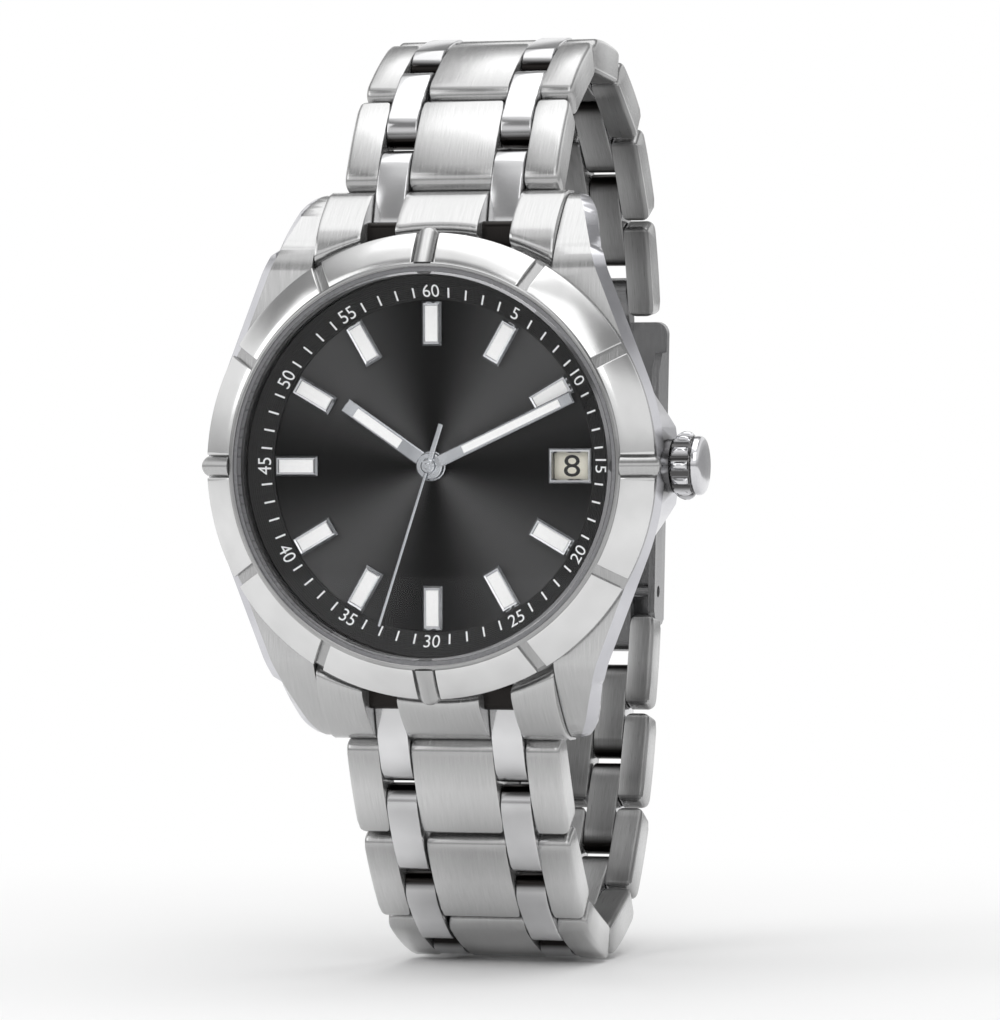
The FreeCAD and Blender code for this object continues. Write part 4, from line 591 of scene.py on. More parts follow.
bm = bmesh.new()
for minute in range(60):
    if minute % 5:
        tick = bmesh.new()
        bmesh.ops.create_grid(tick, x_segments=1, y_segments=1, size=0.5)
        resize(tick, TICK_WIDE, TICK_END - TICK_START, 1)
        turn_mesh(tick, math.radians(90), "X")
        lay_on_flange(tick, (TICK_START + TICK_END) / 2)
    else:
        tick = text_mesh(str(minute or 60), MINUTE_TALL)
        if 15 < minute < 45:
            turn_mesh(tick, math.pi, "Y")
        lay_on_flange(tick, MINUTE_RADIUS)
    clockwise(tick, minute * 6)
    add_mesh(bm, tick)
put(bm, "minute_print", "watch_head", [print_white])

# ------ Hour markers
# Eleven applied markers of polished metal, set on the dial at the hours. Each is a small frame with
# sloped sides, filled with lume.

DIAL_TOP = 6.3
MARKER_MIDDLE = 12.15
MARKER_LONG = 3.8
MARKER_WIDE = 1.75
MARKER_STEPS = ((0, 0.30), (0.17, 0.2), (0.14, -0.08), (0.01, -0.2))
FILL_LONG = 3.08
FILL_WIDE = 1.13
FILL_STEPS = ((0, 0.37), (0.05, 0.03))


def block(x, y, z):
    """A new mesh of a box about the origin."""
    bm = bmesh.new()
    bmesh.ops.create_cube(bm, size=1.0)
    resize(bm, x, y, z)
    return bm


def framed_block(long, wide, steps):
    """A block along Z on the plane Y = 0, its front face stepped in and out by (inset, rise) pairs."""
    thick = steps[0][1]
    bm = block(wide, thick, long)
    move(bm, 0, -thick / 2, 0)
    front = [f for f in bm.faces if f.normal.y < -0.9]
    for inset, rise in steps[1:]:
        bmesh.ops.inset_region(bm, faces=front, thickness=inset, depth=rise, use_even_offset=True)
    return bm


silver = polished_steel("applied_silver", (0.50, 0.51, 0.53, 1), (0.62, 0.63, 0.65, 1), (0.12, 0.22))
lume = moulded("lume_white", grey(0.94), grey(0.98), 0.6)

frames = bmesh.new()
fills = bmesh.new()
for hour in [hour for hour in range(12) if hour != 3]:
    marker = framed_block(MARKER_LONG, MARKER_WIDE, MARKER_STEPS)
    fill = framed_block(FILL_LONG, FILL_WIDE, FILL_STEPS)
    for shape, group in ((marker, frames), (fill, fills)):
        move(shape, 0, -DIAL_TOP, MARKER_MIDDLE)
        clockwise(shape, hour * 30)
        add_mesh(group, shape)
put(frames, "marker_frames", "watch_head", [silver], ["hour_markers"], 15)
put(fills, "marker_fill", "watch_head", [lume], ["marker_lume"], 30)

# ------ Date frame
# A polished metal frame set round the date window in the dial, with a bright outer slope and a
# darker inner one.

FRAME_TALL = 2.94
FRAME_WIDE = 3.74
FRAME_STEPS = ((0, 0.12), (0.12, 0.1), (0.13, -0.02), (0.12, -0.2))

bm = framed_block(FRAME_TALL, FRAME_WIDE, FRAME_STEPS)
inside = [f for f in bm.faces if f.normal.y < -0.9 and f.calc_center_median().xz.length < 0.2]
back = [f for f in bm.faces if f.normal.y > 0.9]
bmesh.ops.delete(bm, geom=inside + back, context="FACES")
move(bm, DATE_RADIUS, -DIAL_TOP, 0)
put(bm, "date_window_rim", "watch_head", [silver], ["date_window_frame"], 15)

# ------ Hands
# Flat steel batons with bevelled edges, each with a slot filled with lume, and a thin seconds hand.
# Their hubs are pressed one above the other on the movement's pipes.

HAND_THICK = 0.22
FILL_START = 3.3
FILL_THICK = 0.245
SLOT_RIM = 0.2
SECONDS_LEVEL = 1.5
SECONDS_THICK = 0.14
SECONDS_ANGLE = 197.9


def soften(bm, edges, offset, segments=2):
    """Breaks sharp edges with a small round, or with one flat where it has one segment."""
    bmesh.ops.bevel(
        bm, geom=edges, offset=offset, segments=segments, profile=0.5, affect="EDGES",
        material=-1, clamp_overlap=True,
    )


def baton(start, tip, wide, level, thick, bevel=0.1):
    """A flat bar along the 12 o'clock line, its front edges bevelled."""
    bm = block(1, 1, 1)
    move(bm, 0, -0.5, 0.5)
    resize(bm, wide, thick, tip - start)
    soften(bm, [e for e in bm.edges if all(v.co.y < -thick / 2 for v in e.verts)], bevel, 1)
    move(bm, 0, -DIAL_TOP - level, start)
    return bm


def hub(radius, level, thick, edge=0.08):
    """A round hub on the dial's axis, its front edge bevelled."""
    bm = bmesh.new()
    low, high = DIAL_TOP + level, DIAL_TOP + level + thick
    turn_profile(bm, [(0, low), (radius, low), (radius, high - edge), (radius - edge, high), (0, high)], 64)
    return bm


def hand(name, node, hub_radius, tip, wide, level, lume_end, angle):
    """An hour or minute hand, and the lume in its slot."""
    bm = hub(hub_radius, level, HAND_THICK)
    add_mesh(bm, hub(hub_radius * 0.62, level + 0.2, thick=0.12, edge=0.06))
    add_mesh(bm, baton(0, tip, wide, level, HAND_THICK))
    clockwise(bm, angle)
    brush_map(bm)
    put(bm, name, node, [hand_steel], [node], 12)
    fill = baton(FILL_START, lume_end, wide - 2 * SLOT_RIM, level, FILL_THICK, bevel=0.03)
    clockwise(fill, angle)
    put(fill, name + "_fill", node, [lume], [node + "_lume"])


hand_steel = polished_steel("hand_steel", (0.56, 0.58, 0.61, 1), (0.68, 0.70, 0.73, 1), (0.16, 0.24))
hand("hour_baton", "hour_hand", hub_radius=1.3, tip=9.25, wide=1.25, level=0.55, lume_end=8.1, angle=304.5)
hand("minute_baton", "minute_hand", hub_radius=1.15, tip=13.9, wide=1.05, level=1.05, lume_end=12.7,
     angle=65.1)

bm = hub(radius=0.6, level=SECONDS_LEVEL, thick=0.3, edge=0.1)
add_mesh(bm, hub(radius=0.28, level=SECONDS_LEVEL + 0.28, thick=0.1, edge=0.05))
for start, tip, wide in ((-3.75, -0.4, 0.42), (0, 14.4, 0.24)):
    add_mesh(bm, baton(start, tip, wide, SECONDS_LEVEL, SECONDS_THICK, bevel=0.05))
clockwise(bm, SECONDS_ANGLE)
put(bm, "seconds_needle", "seconds_hand", [hand_steel], ["seconds_hand"], 12)

# ------ Crystal
# A flat sapphire disc with a ground bevel, pressed into the bezel with a nylon ring. Its coated
# faces hardly reflect; the ground bevel shows as a thin pale ring.

CRYSTAL_RADIUS = 16.6
CRYSTAL_BOTTOM = 8.35
CRYSTAL_TOP = 9.75
CRYSTAL_BEVEL = 0.25


def sapphire(name, alpha):
    """Clear hard glass: what it doesn't reflect it lets through."""
    material, nodes, links, shader = new_material(name)
    haze = solid_noise(nodes, links, 90)
    links.new(spread(nodes, links, haze, 0.01, 0.03), shader.inputs["Roughness"])
    shader.inputs["Base Color"].default_value = grey(0.62, 0.02)
    shader.inputs["Metallic"].default_value = 1.0
    shader.inputs["Alpha"].default_value = alpha
    return material


def from_axis(face):
    """Distance of a face's middle from the dial's axis."""
    middle = face.calc_center_median()
    return math.hypot(middle.x, middle.z)


bm = bmesh.new()
turn_profile(bm, [
    (0, CRYSTAL_BOTTOM), (CRYSTAL_RADIUS, CRYSTAL_BOTTOM), (CRYSTAL_RADIUS, CRYSTAL_TOP - CRYSTAL_BEVEL),
    (CRYSTAL_RADIUS - CRYSTAL_BEVEL, CRYSTAL_TOP), (0, CRYSTAL_TOP),
])
for face in bm.faces:
    face.material_index = 1 if from_axis(face) > CRYSTAL_RADIUS - 0.2 else 0
crystal_looks = [sapphire("sapphire_face", 0.012), sapphire("sapphire_edge", 0.35)]
put(bm, "crystal_disc", "watch_head", crystal_looks, ["crystal"], 20)

# ------ Bezel
# Turned from steel and snapped onto the case. Radial grooves split its polished cone into twelve,
# and four half-round brushed bars lie in it at 12, 3, 6 and 9.

BEZEL_OUT = (19.9, 7.6)
BEZEL_IN = (17.35, 9.4)
BEZEL_DOME = 0.10
PETAL_FOOT_OUT = (19.9, 7.2)
PETAL_FOOT_IN = (17.38, 9.0)
BEZEL_RIM = [BEZEL_IN, (17.24, 9.53), (17.18, 9.55), (17.0, 9.55), (16.95, 9.5), (16.95, 8.35),
             (16.35, 8.35), (16.35, 7.45), (17.2, 7.45), (17.2, 6.0), (17.9, 6.0), (17.9, 6.72),
             (19.86, 6.72)]
RIM_OUT = 17.37
GROOVE_DEEP = 0.42
GROOVE_HALF = 0.475
BAR_RADIUS = 0.925
BAR_TIP = 20.4
BAR_START = 17.36
BAR_RUN = 4.0
BAR_LIFT = 0.45
BAR_CHANNEL = 0.99
BEZEL_SLOPE = math.atan2(BEZEL_IN[1] - BEZEL_OUT[1], BEZEL_OUT[0] - BEZEL_IN[0])
POLISHED, GROOVE, BAR, RIM = range(4)


def sharp_edges(bm, angle):
    """Edges between two faces that meet at more than an angle."""
    limit = math.radians(angle)
    return [e for e in bm.edges if len(e.link_faces) == 2 and e.calc_face_angle(0) > limit]


def cone_point(share, drop):
    """A point of the bezel's cone, from its outer to its inner edge, and drop below its face."""
    long = math.hypot(BEZEL_OUT[0] - BEZEL_IN[0], BEZEL_IN[1] - BEZEL_OUT[1])
    rise = 4 * share * (1 - share) * BEZEL_DOME - drop
    along = ((BEZEL_IN[0] - BEZEL_OUT[0]) / long, (BEZEL_IN[1] - BEZEL_OUT[1]) / long)
    return (BEZEL_OUT[0] + along[0] * long * share + along[1] * rise,
            BEZEL_OUT[1] + along[1] * long * share - along[0] * rise)


def bezel_petal(hour):
    """One polished part of the cone, between the grooves or bars at two hours."""
    bm = bmesh.new()
    profile = [PETAL_FOOT_OUT] + [cone_point(i / 5, 0) for i in range(6)] + [PETAL_FOOT_IN]
    outline = closed_outline(bm, [(0, -level, radius) for radius, level in profile])
    bmesh.ops.spin(
        bm, geom=outline, cent=(0, 0, 0), axis=(0, 1, 0), angle=math.radians(30), steps=16,
        use_merge=False,
    )
    for turn, side in ((0, 1), (30, -1)):
        edge = BAR_CHANNEL if (hour + turn // 30) % 3 == 0 else GROOVE_HALF
        across = Vector((math.cos(math.radians(turn)), 0, -math.sin(math.radians(turn)))) * side
        slice_at(bm, across * edge, across, clear=True)
    bmesh.ops.holes_fill(bm, edges=bm.edges, sides=0)
    bmesh.ops.recalc_face_normals(bm, faces=bm.faces)
    soften(bm, sharp_edges(bm, 35), 0.07)
    clockwise(bm, hour * 30)
    return bm


def bezel_bar(hour):
    """A half-round bar with a round tip, laid down the cone and ended at its inner edge."""
    bm = bmesh.new()
    bmesh.ops.create_uvsphere(bm, u_segments=32, v_segments=17, radius=BAR_RADIUS)
    inner = [v for v in bm.verts if v.co.z < -0.01]
    bmesh.ops.translate(bm, vec=(0, 0, -BAR_RUN), verts=inner)
    turn_mesh(bm, -BEZEL_SLOPE, "X")
    tip = BAR_TIP - BAR_RADIUS
    lift = (BAR_LIFT - BAR_RADIUS) / math.cos(BEZEL_SLOPE)
    move(bm, 0, -BEZEL_OUT[1] + (tip - BEZEL_OUT[0]) * math.tan(BEZEL_SLOPE) - lift, tip)
    slice_at(bm, (0, 0, BAR_START), (0, 0, 1), clear=True)
    bmesh.ops.holes_fill(bm, edges=bm.edges, sides=0)
    for face in bm.faces:
        face.material_index = BAR
    clockwise(bm, hour * 30)
    return bm


bm = bmesh.new()
turn_profile(bm, [cone_point(0, GROOVE_DEEP), cone_point(0.98, GROOVE_DEEP)] + BEZEL_RIM)
for face in bm.faces:
    face.material_index = GROOVE if from_axis(face) > RIM_OUT else RIM
for hour in range(12):
    add_mesh(bm, bezel_petal(hour))
for hour in (0, 3, 6, 9):
    add_mesh(bm, bezel_bar(hour))
brush_map(bm)
bezel_looks = {
    POLISHED: polished_steel("bezel_polished_steel", grey(0.66), grey(0.75), (0.16, 0.22)),
    GROOVE: brushed_steel("groove_steel", grey(0.36), grey(0.50)),
    BAR: brushed_steel("bar_steel", grey(0.42), grey(0.54), (0.16, 0.26)),
    RIM: polished_steel("bezel_rim_steel", grey(0.34), grey(0.42), (0.16, 0.24)),
}
put(bm, "bezel_turned", "watch_head", bezel_looks.values(), ["bezel"], 30)

# ------ Crown
# A polished steel crown that screws down over its tube, with twelve scooped flutes for the fingers,
# a plain neck and a domed end.

CROWN_INNER = 20.9
CROWN_FLUTES = 12
FLUTE_CUTTER = 0.62
FLUTE_CENTRE = 3.05
FLUTE_END = 1.58
FLUTE_SHADE_RADIUS = 2.72
FLUTE_SHADE_DEPTH = 0.3
NECK_END = 1.75
CROWN_OUTLINE = [
    (0.0, 1.5), (0.0, 2.45), (0.12, 2.62), (0.35, 2.78), (0.7, 2.90), (1.1, 2.88), (1.35, 2.78),
    (1.50, 2.62), (1.56, 2.46), (1.64, 2.42), (1.72, 2.46), (1.82, 2.52), (2.05, 2.52), (2.25, 2.44),
    (2.36, 2.30), (2.42, 2.12), (2.47, 1.6), (2.50, 0.9), (2.52, 0.0), (1.3, 0.0), (1.3, 1.5),
]

bm = bmesh.new()
outline = [(CROWN_INNER + along, 0, radius) for along, radius in CROWN_OUTLINE]
spin_round(bm, outline, (1, 0, 0), CROWN_FLUTES * 16)
pitch = math.tau / CROWN_FLUTES
for v in bm.verts:
    reach = math.hypot(v.co.y, v.co.z)
    if reach > 2.4 and v.co.x < CROWN_INNER + FLUTE_END:
        turn = math.atan2(v.co.y, v.co.z) % pitch - pitch / 2
        side = FLUTE_CENTRE * math.sin(turn)
        if abs(side) < FLUTE_CUTTER:
            cut = FLUTE_CENTRE * math.cos(turn) - math.sqrt(FLUTE_CUTTER ** 2 - side ** 2)
            v.co.y *= min(1, cut / reach)
            v.co.z *= min(1, cut / reach)
# Painted shade: the flutes darken with their depth, and the neck groove is darkened, in the colour through
# the shade attribute.
shade = bm.verts.layers.float.new("shade")
for v in bm.verts:
    if v.co.x < CROWN_INNER + FLUTE_END:
        v[shade] = min(0.9, part_way(FLUTE_SHADE_RADIUS - math.hypot(v.co.y, v.co.z), 0, FLUTE_SHADE_DEPTH))
    elif v.co.x < CROWN_INNER + NECK_END:
        v[shade] = 0.8
move(bm, 0, -BOSS_LEVEL, 0)
crown_steel = polished_steel("crown_polished_steel", grey(0.60, 0.02), grey(0.72, 0.02), (0.06, 0.12))
put(bm, "crown_fluted", "crown", [crown_steel], ["crown"], 30)

# ------ End links
# Solid steel links shaped to the case, held by spring bars between the lugs. They are brushed like
# the rows of the bracelet, and slotted for the first polished links.

END_OUT = 23.6
END_IN = 15.9
END_HALF = 10.62
END_BOTTOM = -0.95
END_SLICES_ALONG = 40
END_SLICES_ACROSS = 12
CASE_WALL = 19.1
SLOPE_START = 19.2
SLOPE_TOP = 5.9
SLOPE_FALL = 0.45
SLOPE_BEND = 0.12
BEZEL_EDGE = 19.9
BEZEL_ROUND = 1.15
TIP_ROUND = 0.6
PAIR_SLOT_IN = 3.68
PAIR_SLOT_OUT = 6.60
WEB_THICK = 1.35
WEB_LONG = 2.3
WEB_LEVEL = 3.0
WEB_Z = 19.8


def corner_edges(bm, y, z):
    """Edges along X at one corner of a block's side view."""
    return [e for e in bm.edges if all(abs(v.co.y - y) < 0.01 and abs(v.co.z - z) < 0.01 for v in e.verts)]


def end_level(x, z):
    """Level of an end link's face: sloping to the bracelet, rounded off along the bezel and at its tip."""
    out = z - SLOPE_START
    level = SLOPE_TOP - SLOPE_FALL * out - SLOPE_BEND * out ** 2
    near = 1 - part_way(math.hypot(x, z), BEZEL_EDGE, BEZEL_EDGE + BEZEL_ROUND)
    tip = part_way(z, END_OUT - TIP_ROUND, END_OUT)
    return level - BEZEL_ROUND * rounded_off(near) - TIP_ROUND * rounded_off(tip)


def end_block(left, right):
    """One brushed part of an end link, between the slots for the polished links."""
    bm = block(right - left, 1.0, END_OUT - END_IN)
    move(bm, (left + right) / 2, -END_BOTTOM - 0.5, (END_IN + END_OUT) / 2)
    for i in range(1, END_SLICES_ALONG):
        slice_at(bm, (0, 0, END_IN + (END_OUT - END_IN) * i / END_SLICES_ALONG), (0, 0, 1))
    for i in range(1, END_SLICES_ACROSS):
        slice_at(bm, (left + (right - left) * i / END_SLICES_ACROSS, 0, 0), (1, 0, 0))
    for v in bm.verts:
        v.co.z = max(v.co.z, math.sqrt(CASE_WALL ** 2 - v.co.x ** 2))
        if v.co.y < -END_BOTTOM - 0.5:
            v.co.y = -end_level(v.co.x, v.co.z)
    bmesh.ops.remove_doubles(bm, verts=bm.verts, dist=0.001)
    rims = [e for e in sharp_edges(bm, 52) if all(v.co.y < 0.5 for v in e.verts)
            and abs(e.verts[0].co.x - e.verts[1].co.x) < 0.01]
    soften(bm, rims, 0.16)
    return bm


def slot_web(middle):
    """The bridge deep in a slot, that the spring bar passes through, painted fully dark as painted shade.
    """
    bm = block(PAIR_SLOT_OUT - PAIR_SLOT_IN + 0.1, WEB_THICK, WEB_LONG)
    move(bm, middle, -WEB_LEVEL, WEB_Z)
    soften(bm, corner_edges(bm, -WEB_LEVEL - WEB_THICK / 2, WEB_Z + WEB_LONG / 2), 0.6, 4)
    # Painted shade: the whole web takes the full painted shade colour.
    dark = bm.verts.layers.float.new("shade")
    for v in bm.verts:
        v[dark] = 1.0
    return bm


def mirror_z(bm):
    """Turns a mesh for the 12 o'clock side into one for the 6 o'clock side."""
    resize(bm, 1, 1, -1)
    bmesh.ops.recalc_face_normals(bm, faces=bm.faces)


slot_middle = (PAIR_SLOT_IN + PAIR_SLOT_OUT) / 2
for side, node, name in ((1, "end_link_12", "end_link_upper"), (-1, "end_link_6", "end_link_lower")):
    bm = end_block(-PAIR_SLOT_IN, PAIR_SLOT_IN)
    add_mesh(bm, end_block(PAIR_SLOT_OUT, END_HALF))
    add_mesh(bm, end_block(-END_HALF, -PAIR_SLOT_OUT))
    bm.verts.layers.float.new("shade")
    for middle in (-slot_middle, slot_middle):
        add_mesh(bm, slot_web(middle))
    if side < 0:
        mirror_z(bm)
    brush_map(bm, 3.1 * side)
    put(bm, name, "watch_head", [case_brushed], [node])

# ------ Bracelet rows
# Each row is a wide centre link and two outer ones, milled from brushed steel bar with rounded
# corners and slightly domed fronts. Pressed pins join them to the polished links between.

ROW_COUNTS = {12: 6, 6: 7}
ROW_HALF_OUT = 4.6
ROW_HALF_IN = 4.15
ROW_THICK = 3.2
ROW_NOSE = 1.45
ROW_TAIL = 0.42
ROW_BACK = 0.5
ROW_EDGE = 0.16
ROW_EDGE_SHOWN = 0.5
ROW_CORNER_NEAR = 0.7
ROW_CORNER_FAR = 1.0
ROW_DOME = 0.38
ROW_SHIFT = 7.3
ROW_CUTS = (-2.4, -1.2, 0, 1.2, 2.4, 3.4)
ROW_CENTRE_HALF = 3.7
ROW_CENTRE_TAPER = 0.1
ROW_GAP = 0.06
ROW_OUTER_WIDE = 3.0
ROW_OUTER_TAPER = 0.12
PAIR_WIDE = 2.75
PIN_RADIUS = 0.44
PIN_Z = 2.2
PIN_INSET = 0.35
COVER_TILT = math.radians(176.5175)
LAST_PIN_ALONG = 31.9
LAST_PIN_IN = 1.25
OUTSIDE, PIN, INSIDE = range(3)


def bracelet_block(left, right, outer=0):
    """One brushed link about the row's middle, its front to -Y, its near end to -Z.

    outer is the side, if any, that shows at the bracelet's edge and is rounded more."""
    half_thick = ROW_THICK / 2
    bm = block(right - left, ROW_THICK, 2 * ROW_HALF_OUT)
    for step in ROW_CUTS:
        slice_at(bm, (0, 0, step), (0, 0, 1))
    soften(bm, corner_edges(bm, -half_thick, -ROW_HALF_OUT), ROW_NOSE, 8)
    soften(bm, corner_edges(bm, -half_thick, ROW_HALF_OUT), ROW_TAIL, 5)
    soften(bm, corner_edges(bm, half_thick, -ROW_HALF_OUT), ROW_BACK, 3)
    soften(bm, corner_edges(bm, half_thick, ROW_HALF_OUT), ROW_BACK, 3)
    for side in (-1, 1):
        rim = [e for e in sharp_edges(bm, 70) if all(side * v.co.x > 0.3 for v in e.verts)]
        soften(bm, rim, *((ROW_EDGE_SHOWN, 4) if side == outer else (ROW_EDGE, 2)))
    half = (right - left) / 2
    for v in bm.verts:
        depth = (v.co.y + half_thick) / ROW_THICK
        share = v.co.z / ROW_HALF_OUT
        radius = ROW_CORNER_FAR if v.co.z > 0 else ROW_CORNER_NEAR
        past = max(0, abs(v.co.z) - (ROW_HALF_OUT - radius)) / radius
        v.co.x *= 1 - 0.6 * radius * rounded_off(past) / half
        v.co.z *= 1 - depth * (1 - ROW_HALF_IN / ROW_HALF_OUT)
        v.co.y += (1 - depth) * ROW_DOME * share ** 2
    move(bm, (left + right) / 2, 0, 0)
    return bm


def shade_joints(bm, start, full, deep, near_painted_shade, far_painted_shade):
    """Paints shade onto a link: a little towards its ends, and fully down in the joints where shadow falls.

    The joints' dark runs from start to full along the link, and sets in deep below its middle."""
    layer = bm.verts.layers.float.new("shade")
    for v in bm.verts:
        end = part_way(abs(v.co.z), start, full)
        below = part_way(v.co.y, -deep, 0.7 - deep)
        near = near_painted_shade * part_way(-v.co.z, 0, 3.4)
        far = far_painted_shade * part_way(v.co.z, 1.6, 4.0)
        v[layer] = max(end * below, near, far)


def pin_along(left, right, z):
    """A pin along X."""
    bm = bmesh.new()
    bmesh.ops.create_cone(
        bm, cap_ends=True, segments=20, radius1=PIN_RADIUS, radius2=PIN_RADIUS, depth=right - left,
    )
    turn_mesh(bm, math.radians(90), "Y")
    move(bm, (left + right) / 2, 0, z)
    for face in bm.faces:
        face.material_index = PIN
    return bm


def lay_between(bm, near, far, side):
    """Sets a link between its two pins, its front away from the wrist."""
    run = far - near
    if side == 12:
        turn_mesh(bm, -math.atan2(run.y, run.z), "X")
    else:
        mirror_z(bm)
        turn_mesh(bm, math.atan2(run.y, -run.z), "X")
    move(bm, *(near + far) / 2)


pins = {joint["name"]: Vector(joint["pos_m"]) / MILLIMETRE
        for joint in frame["joints"] if joint.get("pos_m")}
cover_along = Vector((0, math.sin(COVER_TILT), math.cos(COVER_TILT)))
cover_out = Vector((0, -math.cos(COVER_TILT), math.sin(COVER_TILT)))
top_pin = pins["hinge_clasp_cover"]
last_pins = {12: top_pin, 6: top_pin + cover_along * LAST_PIN_ALONG - cover_out * LAST_PIN_IN}
link_brushed = brushed_steel("link_brushed_steel", grey(0.58), grey(0.72))
# Painted shade: faces towards the wrist get a much darker steel than the outer faces, as steel in shadow
# inside the loop.
link_inner_painted_shade = brushed_steel("link_inner_steel", grey(0.24), grey(0.34), (0.26, 0.38))
# Painted shade: the pins get a near-black steel so that the joints between links read dark.
pin_steel_painted_shade = polished_steel("pin_steel_painted_shade", grey(0.12), grey(0.20), (0.3, 0.4))

for side, count in ROW_COUNTS.items():
    for rank in range(1, count + 1):
        centre = ROW_CENTRE_HALF - ROW_CENTRE_TAPER * (rank - 1)
        start = centre + PAIR_WIDE + 2 * ROW_GAP
        end = start + ROW_OUTER_WIDE - ROW_OUTER_TAPER * (rank - 1)
        bm = bracelet_block(-centre, centre)
        add_mesh(bm, bracelet_block(start, end, 1))
        add_mesh(bm, bracelet_block(-end, -start, -1))
        brush_map(bm, rank * ROW_SHIFT + side)
        # Painted shade: the links darken towards their ends, and fully down in the joints.
        shade_joints(bm, start=4.0, full=4.5, deep=0.9, near_painted_shade=0.34, far_painted_shade=0.20)
        # Faces towards the wrist take the darker painted-shade steel.
        for face in bm.faces:
            face.material_index = INSIDE if face.normal.y > 0.5 else OUTSIDE
        for z in (-PIN_Z, PIN_Z):
            add_mesh(bm, pin_along(-end + PIN_INSET, end - PIN_INSET, z))
        near = pins[f"hinge_row_{side}_{rank}"]
        far = pins[f"hinge_pair_{side}_{rank + 1}"] if rank < count else last_pins[side]
        lay_between(bm, near, far, side)
        node = f"row_{side}_{rank}"
        put(bm, f"brushed_{node}", node, [link_brushed, pin_steel_painted_shade, link_inner_painted_shade], [node], 30)

# ------ Polished pairs
# Narrow polished links with round ends, two side by side. They hinge on the pins of the brushed rows
# before and after them.

PAIR_RADIUS = 1.45
PAIR_HALF = 2.5
PAIR_NOSE = 1.95
PAIR_DOME = 0.40


def polished_link(left, right):
    """One round-ended link about the middle of its two pins."""
    bm = bmesh.new()
    bmesh.ops.create_circle(bm, cap_ends=True, segments=60, radius=PAIR_RADIUS)
    turn_mesh(bm, math.radians(90), "Y")
    for v in bm.verts:
        v.co.z = v.co.z * PAIR_NOSE / PAIR_RADIUS + math.copysign(PAIR_HALF, v.co.z)
    long = [e for e in bm.edges if abs(e.verts[0].co.z - e.verts[1].co.z) > 3]
    bmesh.ops.subdivide_edges(bm, edges=long, cuts=15)
    for v in bm.verts:
        if v.co.y < 0:
            share = v.co.z / (PAIR_HALF + PAIR_NOSE)
            v.co.y *= 1 + PAIR_DOME / PAIR_RADIUS * (1 - share ** 2)
    whole = bmesh.ops.extrude_face_region(bm, geom=bm.faces[:], use_keep_orig=True)
    moved = [g for g in whole["geom"] if isinstance(g, bmesh.types.BMVert)]
    bmesh.ops.translate(bm, vec=(right - left, 0, 0), verts=moved)
    bmesh.ops.recalc_face_normals(bm, faces=bm.faces)
    soften(bm, sharp_edges(bm, 60), 0.14, 3)
    move(bm, left, 0, 0)
    return bm


pair_polished = polished_steel("pair_polished_steel", grey(0.70, 0.01), grey(0.80, 0.01), (0.12, 0.18))
for side, count in ROW_COUNTS.items():
    for rank in range(1, count + 1):
        start = ROW_CENTRE_HALF - ROW_CENTRE_TAPER * max(rank - 2, 0) + ROW_GAP
        bm = polished_link(start, start + PAIR_WIDE)
        add_mesh(bm, polished_link(-start - PAIR_WIDE, -start))
        # Painted shade: the polished links darken towards their ends, and fully down in the joints.
        shade_joints(bm, start=3.2, full=3.9, deep=1.35, near_painted_shade=0.28, far_painted_shade=0.34)
        brush_map(bm)
        # Faces towards the wrist take the darker painted-shade steel.
        for face in bm.faces:
            face.material_index = 1 if face.normal.y > 0.3 else 0
        node = f"pair_{side}_{rank}"
        lay_between(bm, pins[f"hinge_{node}"], pins[f"hinge_row_{side}_{rank}"], side)
        put(bm, f"polished_{node}", node, [pair_polished, link_inner_painted_shade], [node], 30)

# ------ Clasp
# A fold-over clasp: a bent steel cover with side walls, and two stamped blades that fold flat
# inside it on pins. The cover is a little narrower towards its lower end.

COVER_SIDE = 9.3
COVER_END = 12.6
COVER_CORNER = 1.1
COVER_EDGE = 0.22
TAPER_TOP = 16.0
TAPER_LOW = -15.0
TAPER_FROM = 0.985
TAPER_BY = 0.13

# Painted shade: the clasp's steel is much darker than the links' steel, as steel in shadow.
clasp_brushed_painted_shade = brushed_steel("clasp_brushed_steel", grey(0.26, 0.005), grey(0.38, 0.005))
for node, name in (("clasp_cover", "cover_plate"), ("clasp_outer_blade", "outer_fold"),
                   ("clasp_inner_blade", "inner_fold")):
    bm = cad_mesh(node)
    brush_map(bm)
    if node == "clasp_cover":
        for end in (1, -1):
            corners = [e for e in bm.edges
                       if all(abs(v.co.x) > COVER_SIDE and end * v.co.z > COVER_END for v in e.verts)
                       and abs(e.verts[0].co.y - e.verts[1].co.y) > 0.9 * e.calc_length() > 0.5]
            soften(bm, corners, COVER_CORNER, 5)
        soften(bm, [e for e in sharp_edges(bm, 50) if e.calc_length() > 0.2], COVER_EDGE)
        for v in bm.verts:
            v.co.x *= TAPER_FROM - TAPER_BY * part_way(-v.co.z, -TAPER_TOP, -TAPER_LOW)
    put(bm, name, node, [clasp_brushed_painted_shade], [node])

# ------ Studio
# A pale floor under the bracelet, a lit cloth tent that the camera doesn't see, three soft lamps,
# and the camera.

FLOOR_RADIUS = 1.5
FADE_START = 0.055
FADE_END = 0.16
TENT_RADIUS = 1.3
TENT_GREYS = ((0.0, 0.40), (0.10, 0.62), (0.20, 1.0), (0.38, 1.0), (0.54, 0.28), (0.68, 0.28),
              (0.86, 1.05), (1.0, 1.05))
LAMP_AWAY = 0.8
VIEW_LENS = 218.091
VIEW_DISTANCE = 525.0
VIEW_SPOT = Vector((0, -9, 0))
VIEW_ASIDE = 6.457
VIEW_BELOW = 3.713
VIEW_TURN = math.radians(15.86)
VIEW_RISE = math.radians(0.93)
VIEW_ROLL = math.radians(0.19)


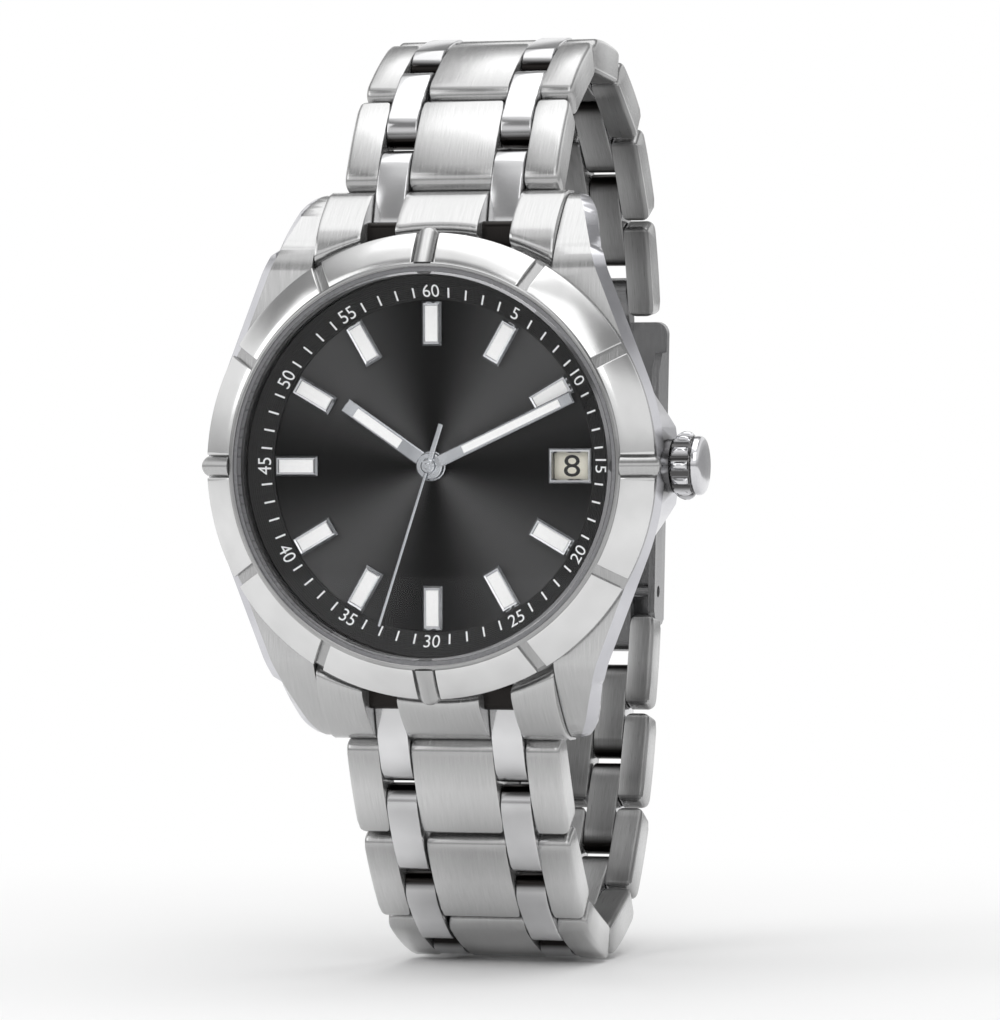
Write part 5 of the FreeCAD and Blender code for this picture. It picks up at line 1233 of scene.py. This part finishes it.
def floor_paint():
    """Pale matt paint that gives way to plain white away from the watch."""
    material, nodes, links, shader = new_material("pale_floor")
    shader.inputs["Base Color"].default_value = grey(0.92)
    shader.inputs["Roughness"].default_value = 0.9
    shader.inputs["Specular IOR Level"].default_value = 0.0
    place = nodes.new("ShaderNodeTexCoord")
    reach = nodes.new("ShaderNodeVectorMath")
    reach.operation = "LENGTH"
    links.new(place.outputs["Object"], reach.inputs[0])
    fade = nodes.new("ShaderNodeMapRange")
    fade.interpolation_type = "SMOOTHSTEP"
    fade.inputs["From Min"].default_value = FADE_START
    fade.inputs["From Max"].default_value = FADE_END
    links.new(reach.outputs["Value"], fade.inputs["Value"])
    rays = nodes.new("ShaderNodeLightPath").outputs
    seen = worked_out(nodes, links, "MAXIMUM", rays["Is Camera Ray"], rays["Is Transmission Ray"])
    seen = worked_out(nodes, links, "MAXIMUM", seen, rays["Is Glossy Ray"])
    far_off = worked_out(nodes, links, "MULTIPLY", fade.outputs["Result"], seen)
    white = nodes.new("ShaderNodeEmission")
    mixed = nodes.new("ShaderNodeMixShader")
    links.new(far_off, mixed.inputs["Fac"])
    links.new(shader.outputs["BSDF"], mixed.inputs[1])
    links.new(white.outputs["Emission"], mixed.inputs[2])
    links.new(mixed.outputs["Shader"], nodes["Material Output"].inputs["Surface"])
    return material


def tent_cloth():
    """Lit cloth: grey at the horizon and below, white above it, dim higher up, and white overhead."""
    material, nodes, links, shader = new_material("tent_cloth")
    nodes.remove(shader)
    place = nodes.new("ShaderNodeTexCoord")
    toward = nodes.new("ShaderNodeVectorMath")
    toward.operation = "NORMALIZE"
    links.new(place.outputs["Object"], toward.inputs[0])
    parts = nodes.new("ShaderNodeSeparateXYZ")
    links.new(toward.outputs["Vector"], parts.inputs["Vector"])
    heights = nodes.new("ShaderNodeValToRGB")
    heights.color_ramp.interpolation = "EASE"
    stops = heights.color_ramp.elements
    while len(stops) < len(TENT_GREYS):
        stops.new(0.5)
    for stop, (height, level) in zip(stops, TENT_GREYS):
        stop.position = height
        stop.color = grey(level)
    links.new(parts.outputs["Z"], heights.inputs["Fac"])
    glow = nodes.new("ShaderNodeEmission")
    links.new(heights.outputs["Color"], glow.inputs["Color"])
    links.new(glow.outputs["Emission"], nodes["Material Output"].inputs["Surface"])
    material.cycles.emission_sampling = "NONE"
    return material


def softbox(name, toward, size, watts):
    """A square lamp that faces the watch from a direction."""
    light = bpy.data.lights.new(name, "AREA")
    light.energy = watts
    light.size = size
    lamp = bpy.data.objects.new(name, light)
    bpy.context.collection.objects.link(lamp)
    away = Vector(toward).normalized()
    lamp.location = away * LAMP_AWAY
    lamp.rotation_euler = away.to_track_quat("Z", "Y").to_euler()


bm = bmesh.new()
bmesh.ops.create_circle(bm, cap_ends=True, segments=96, radius=FLOOR_RADIUS)
move(bm, 0, 0, cad_box[0][2])
made_object(bm, "floor", [floor_paint()])

scene = bpy.context.scene
scene.world = world = bpy.data.worlds.new("studio")
world.use_nodes = True
world.node_tree.nodes["Background"].inputs["Color"].default_value = grey(1)

softbox("left_box", (-0.72, -0.54, 0.43), 0.45, 0.9)
softbox("right_box", (0.33, -0.74, 0.58), 0.45, 0.9)
softbox("top_box", (0.02, 0.05, 1.0), 0.80, 1.7)

bm = bmesh.new()
bmesh.ops.create_uvsphere(bm, u_segments=64, v_segments=32, radius=TENT_RADIUS)
tent = made_object(bm, "tent", [tent_cloth()])
tent.visible_camera = False
tent.visible_shadow = False

facing = (Matrix.Rotation(VIEW_TURN, 3, "Z") @ Matrix.Rotation(math.radians(90) - VIEW_RISE, 3, "X")
          @ Matrix.Rotation(-VIEW_ROLL, 3, "Z"))
stand = VIEW_SPOT + facing @ Vector((VIEW_ASIDE, -VIEW_BELOW, VIEW_DISTANCE))
lens = bpy.data.cameras.new("camera")
lens.sensor_width = 36
lens.lens = VIEW_LENS
lens.clip_start = 0.01
lens.clip_end = 10
camera = bpy.data.objects.new("camera", lens)
bpy.context.collection.objects.link(camera)
camera.matrix_world = Matrix.Translation(stand * MILLIMETRE) @ facing.to_4x4()
scene.camera = camera
scene.view_settings.view_transform = "Standard"
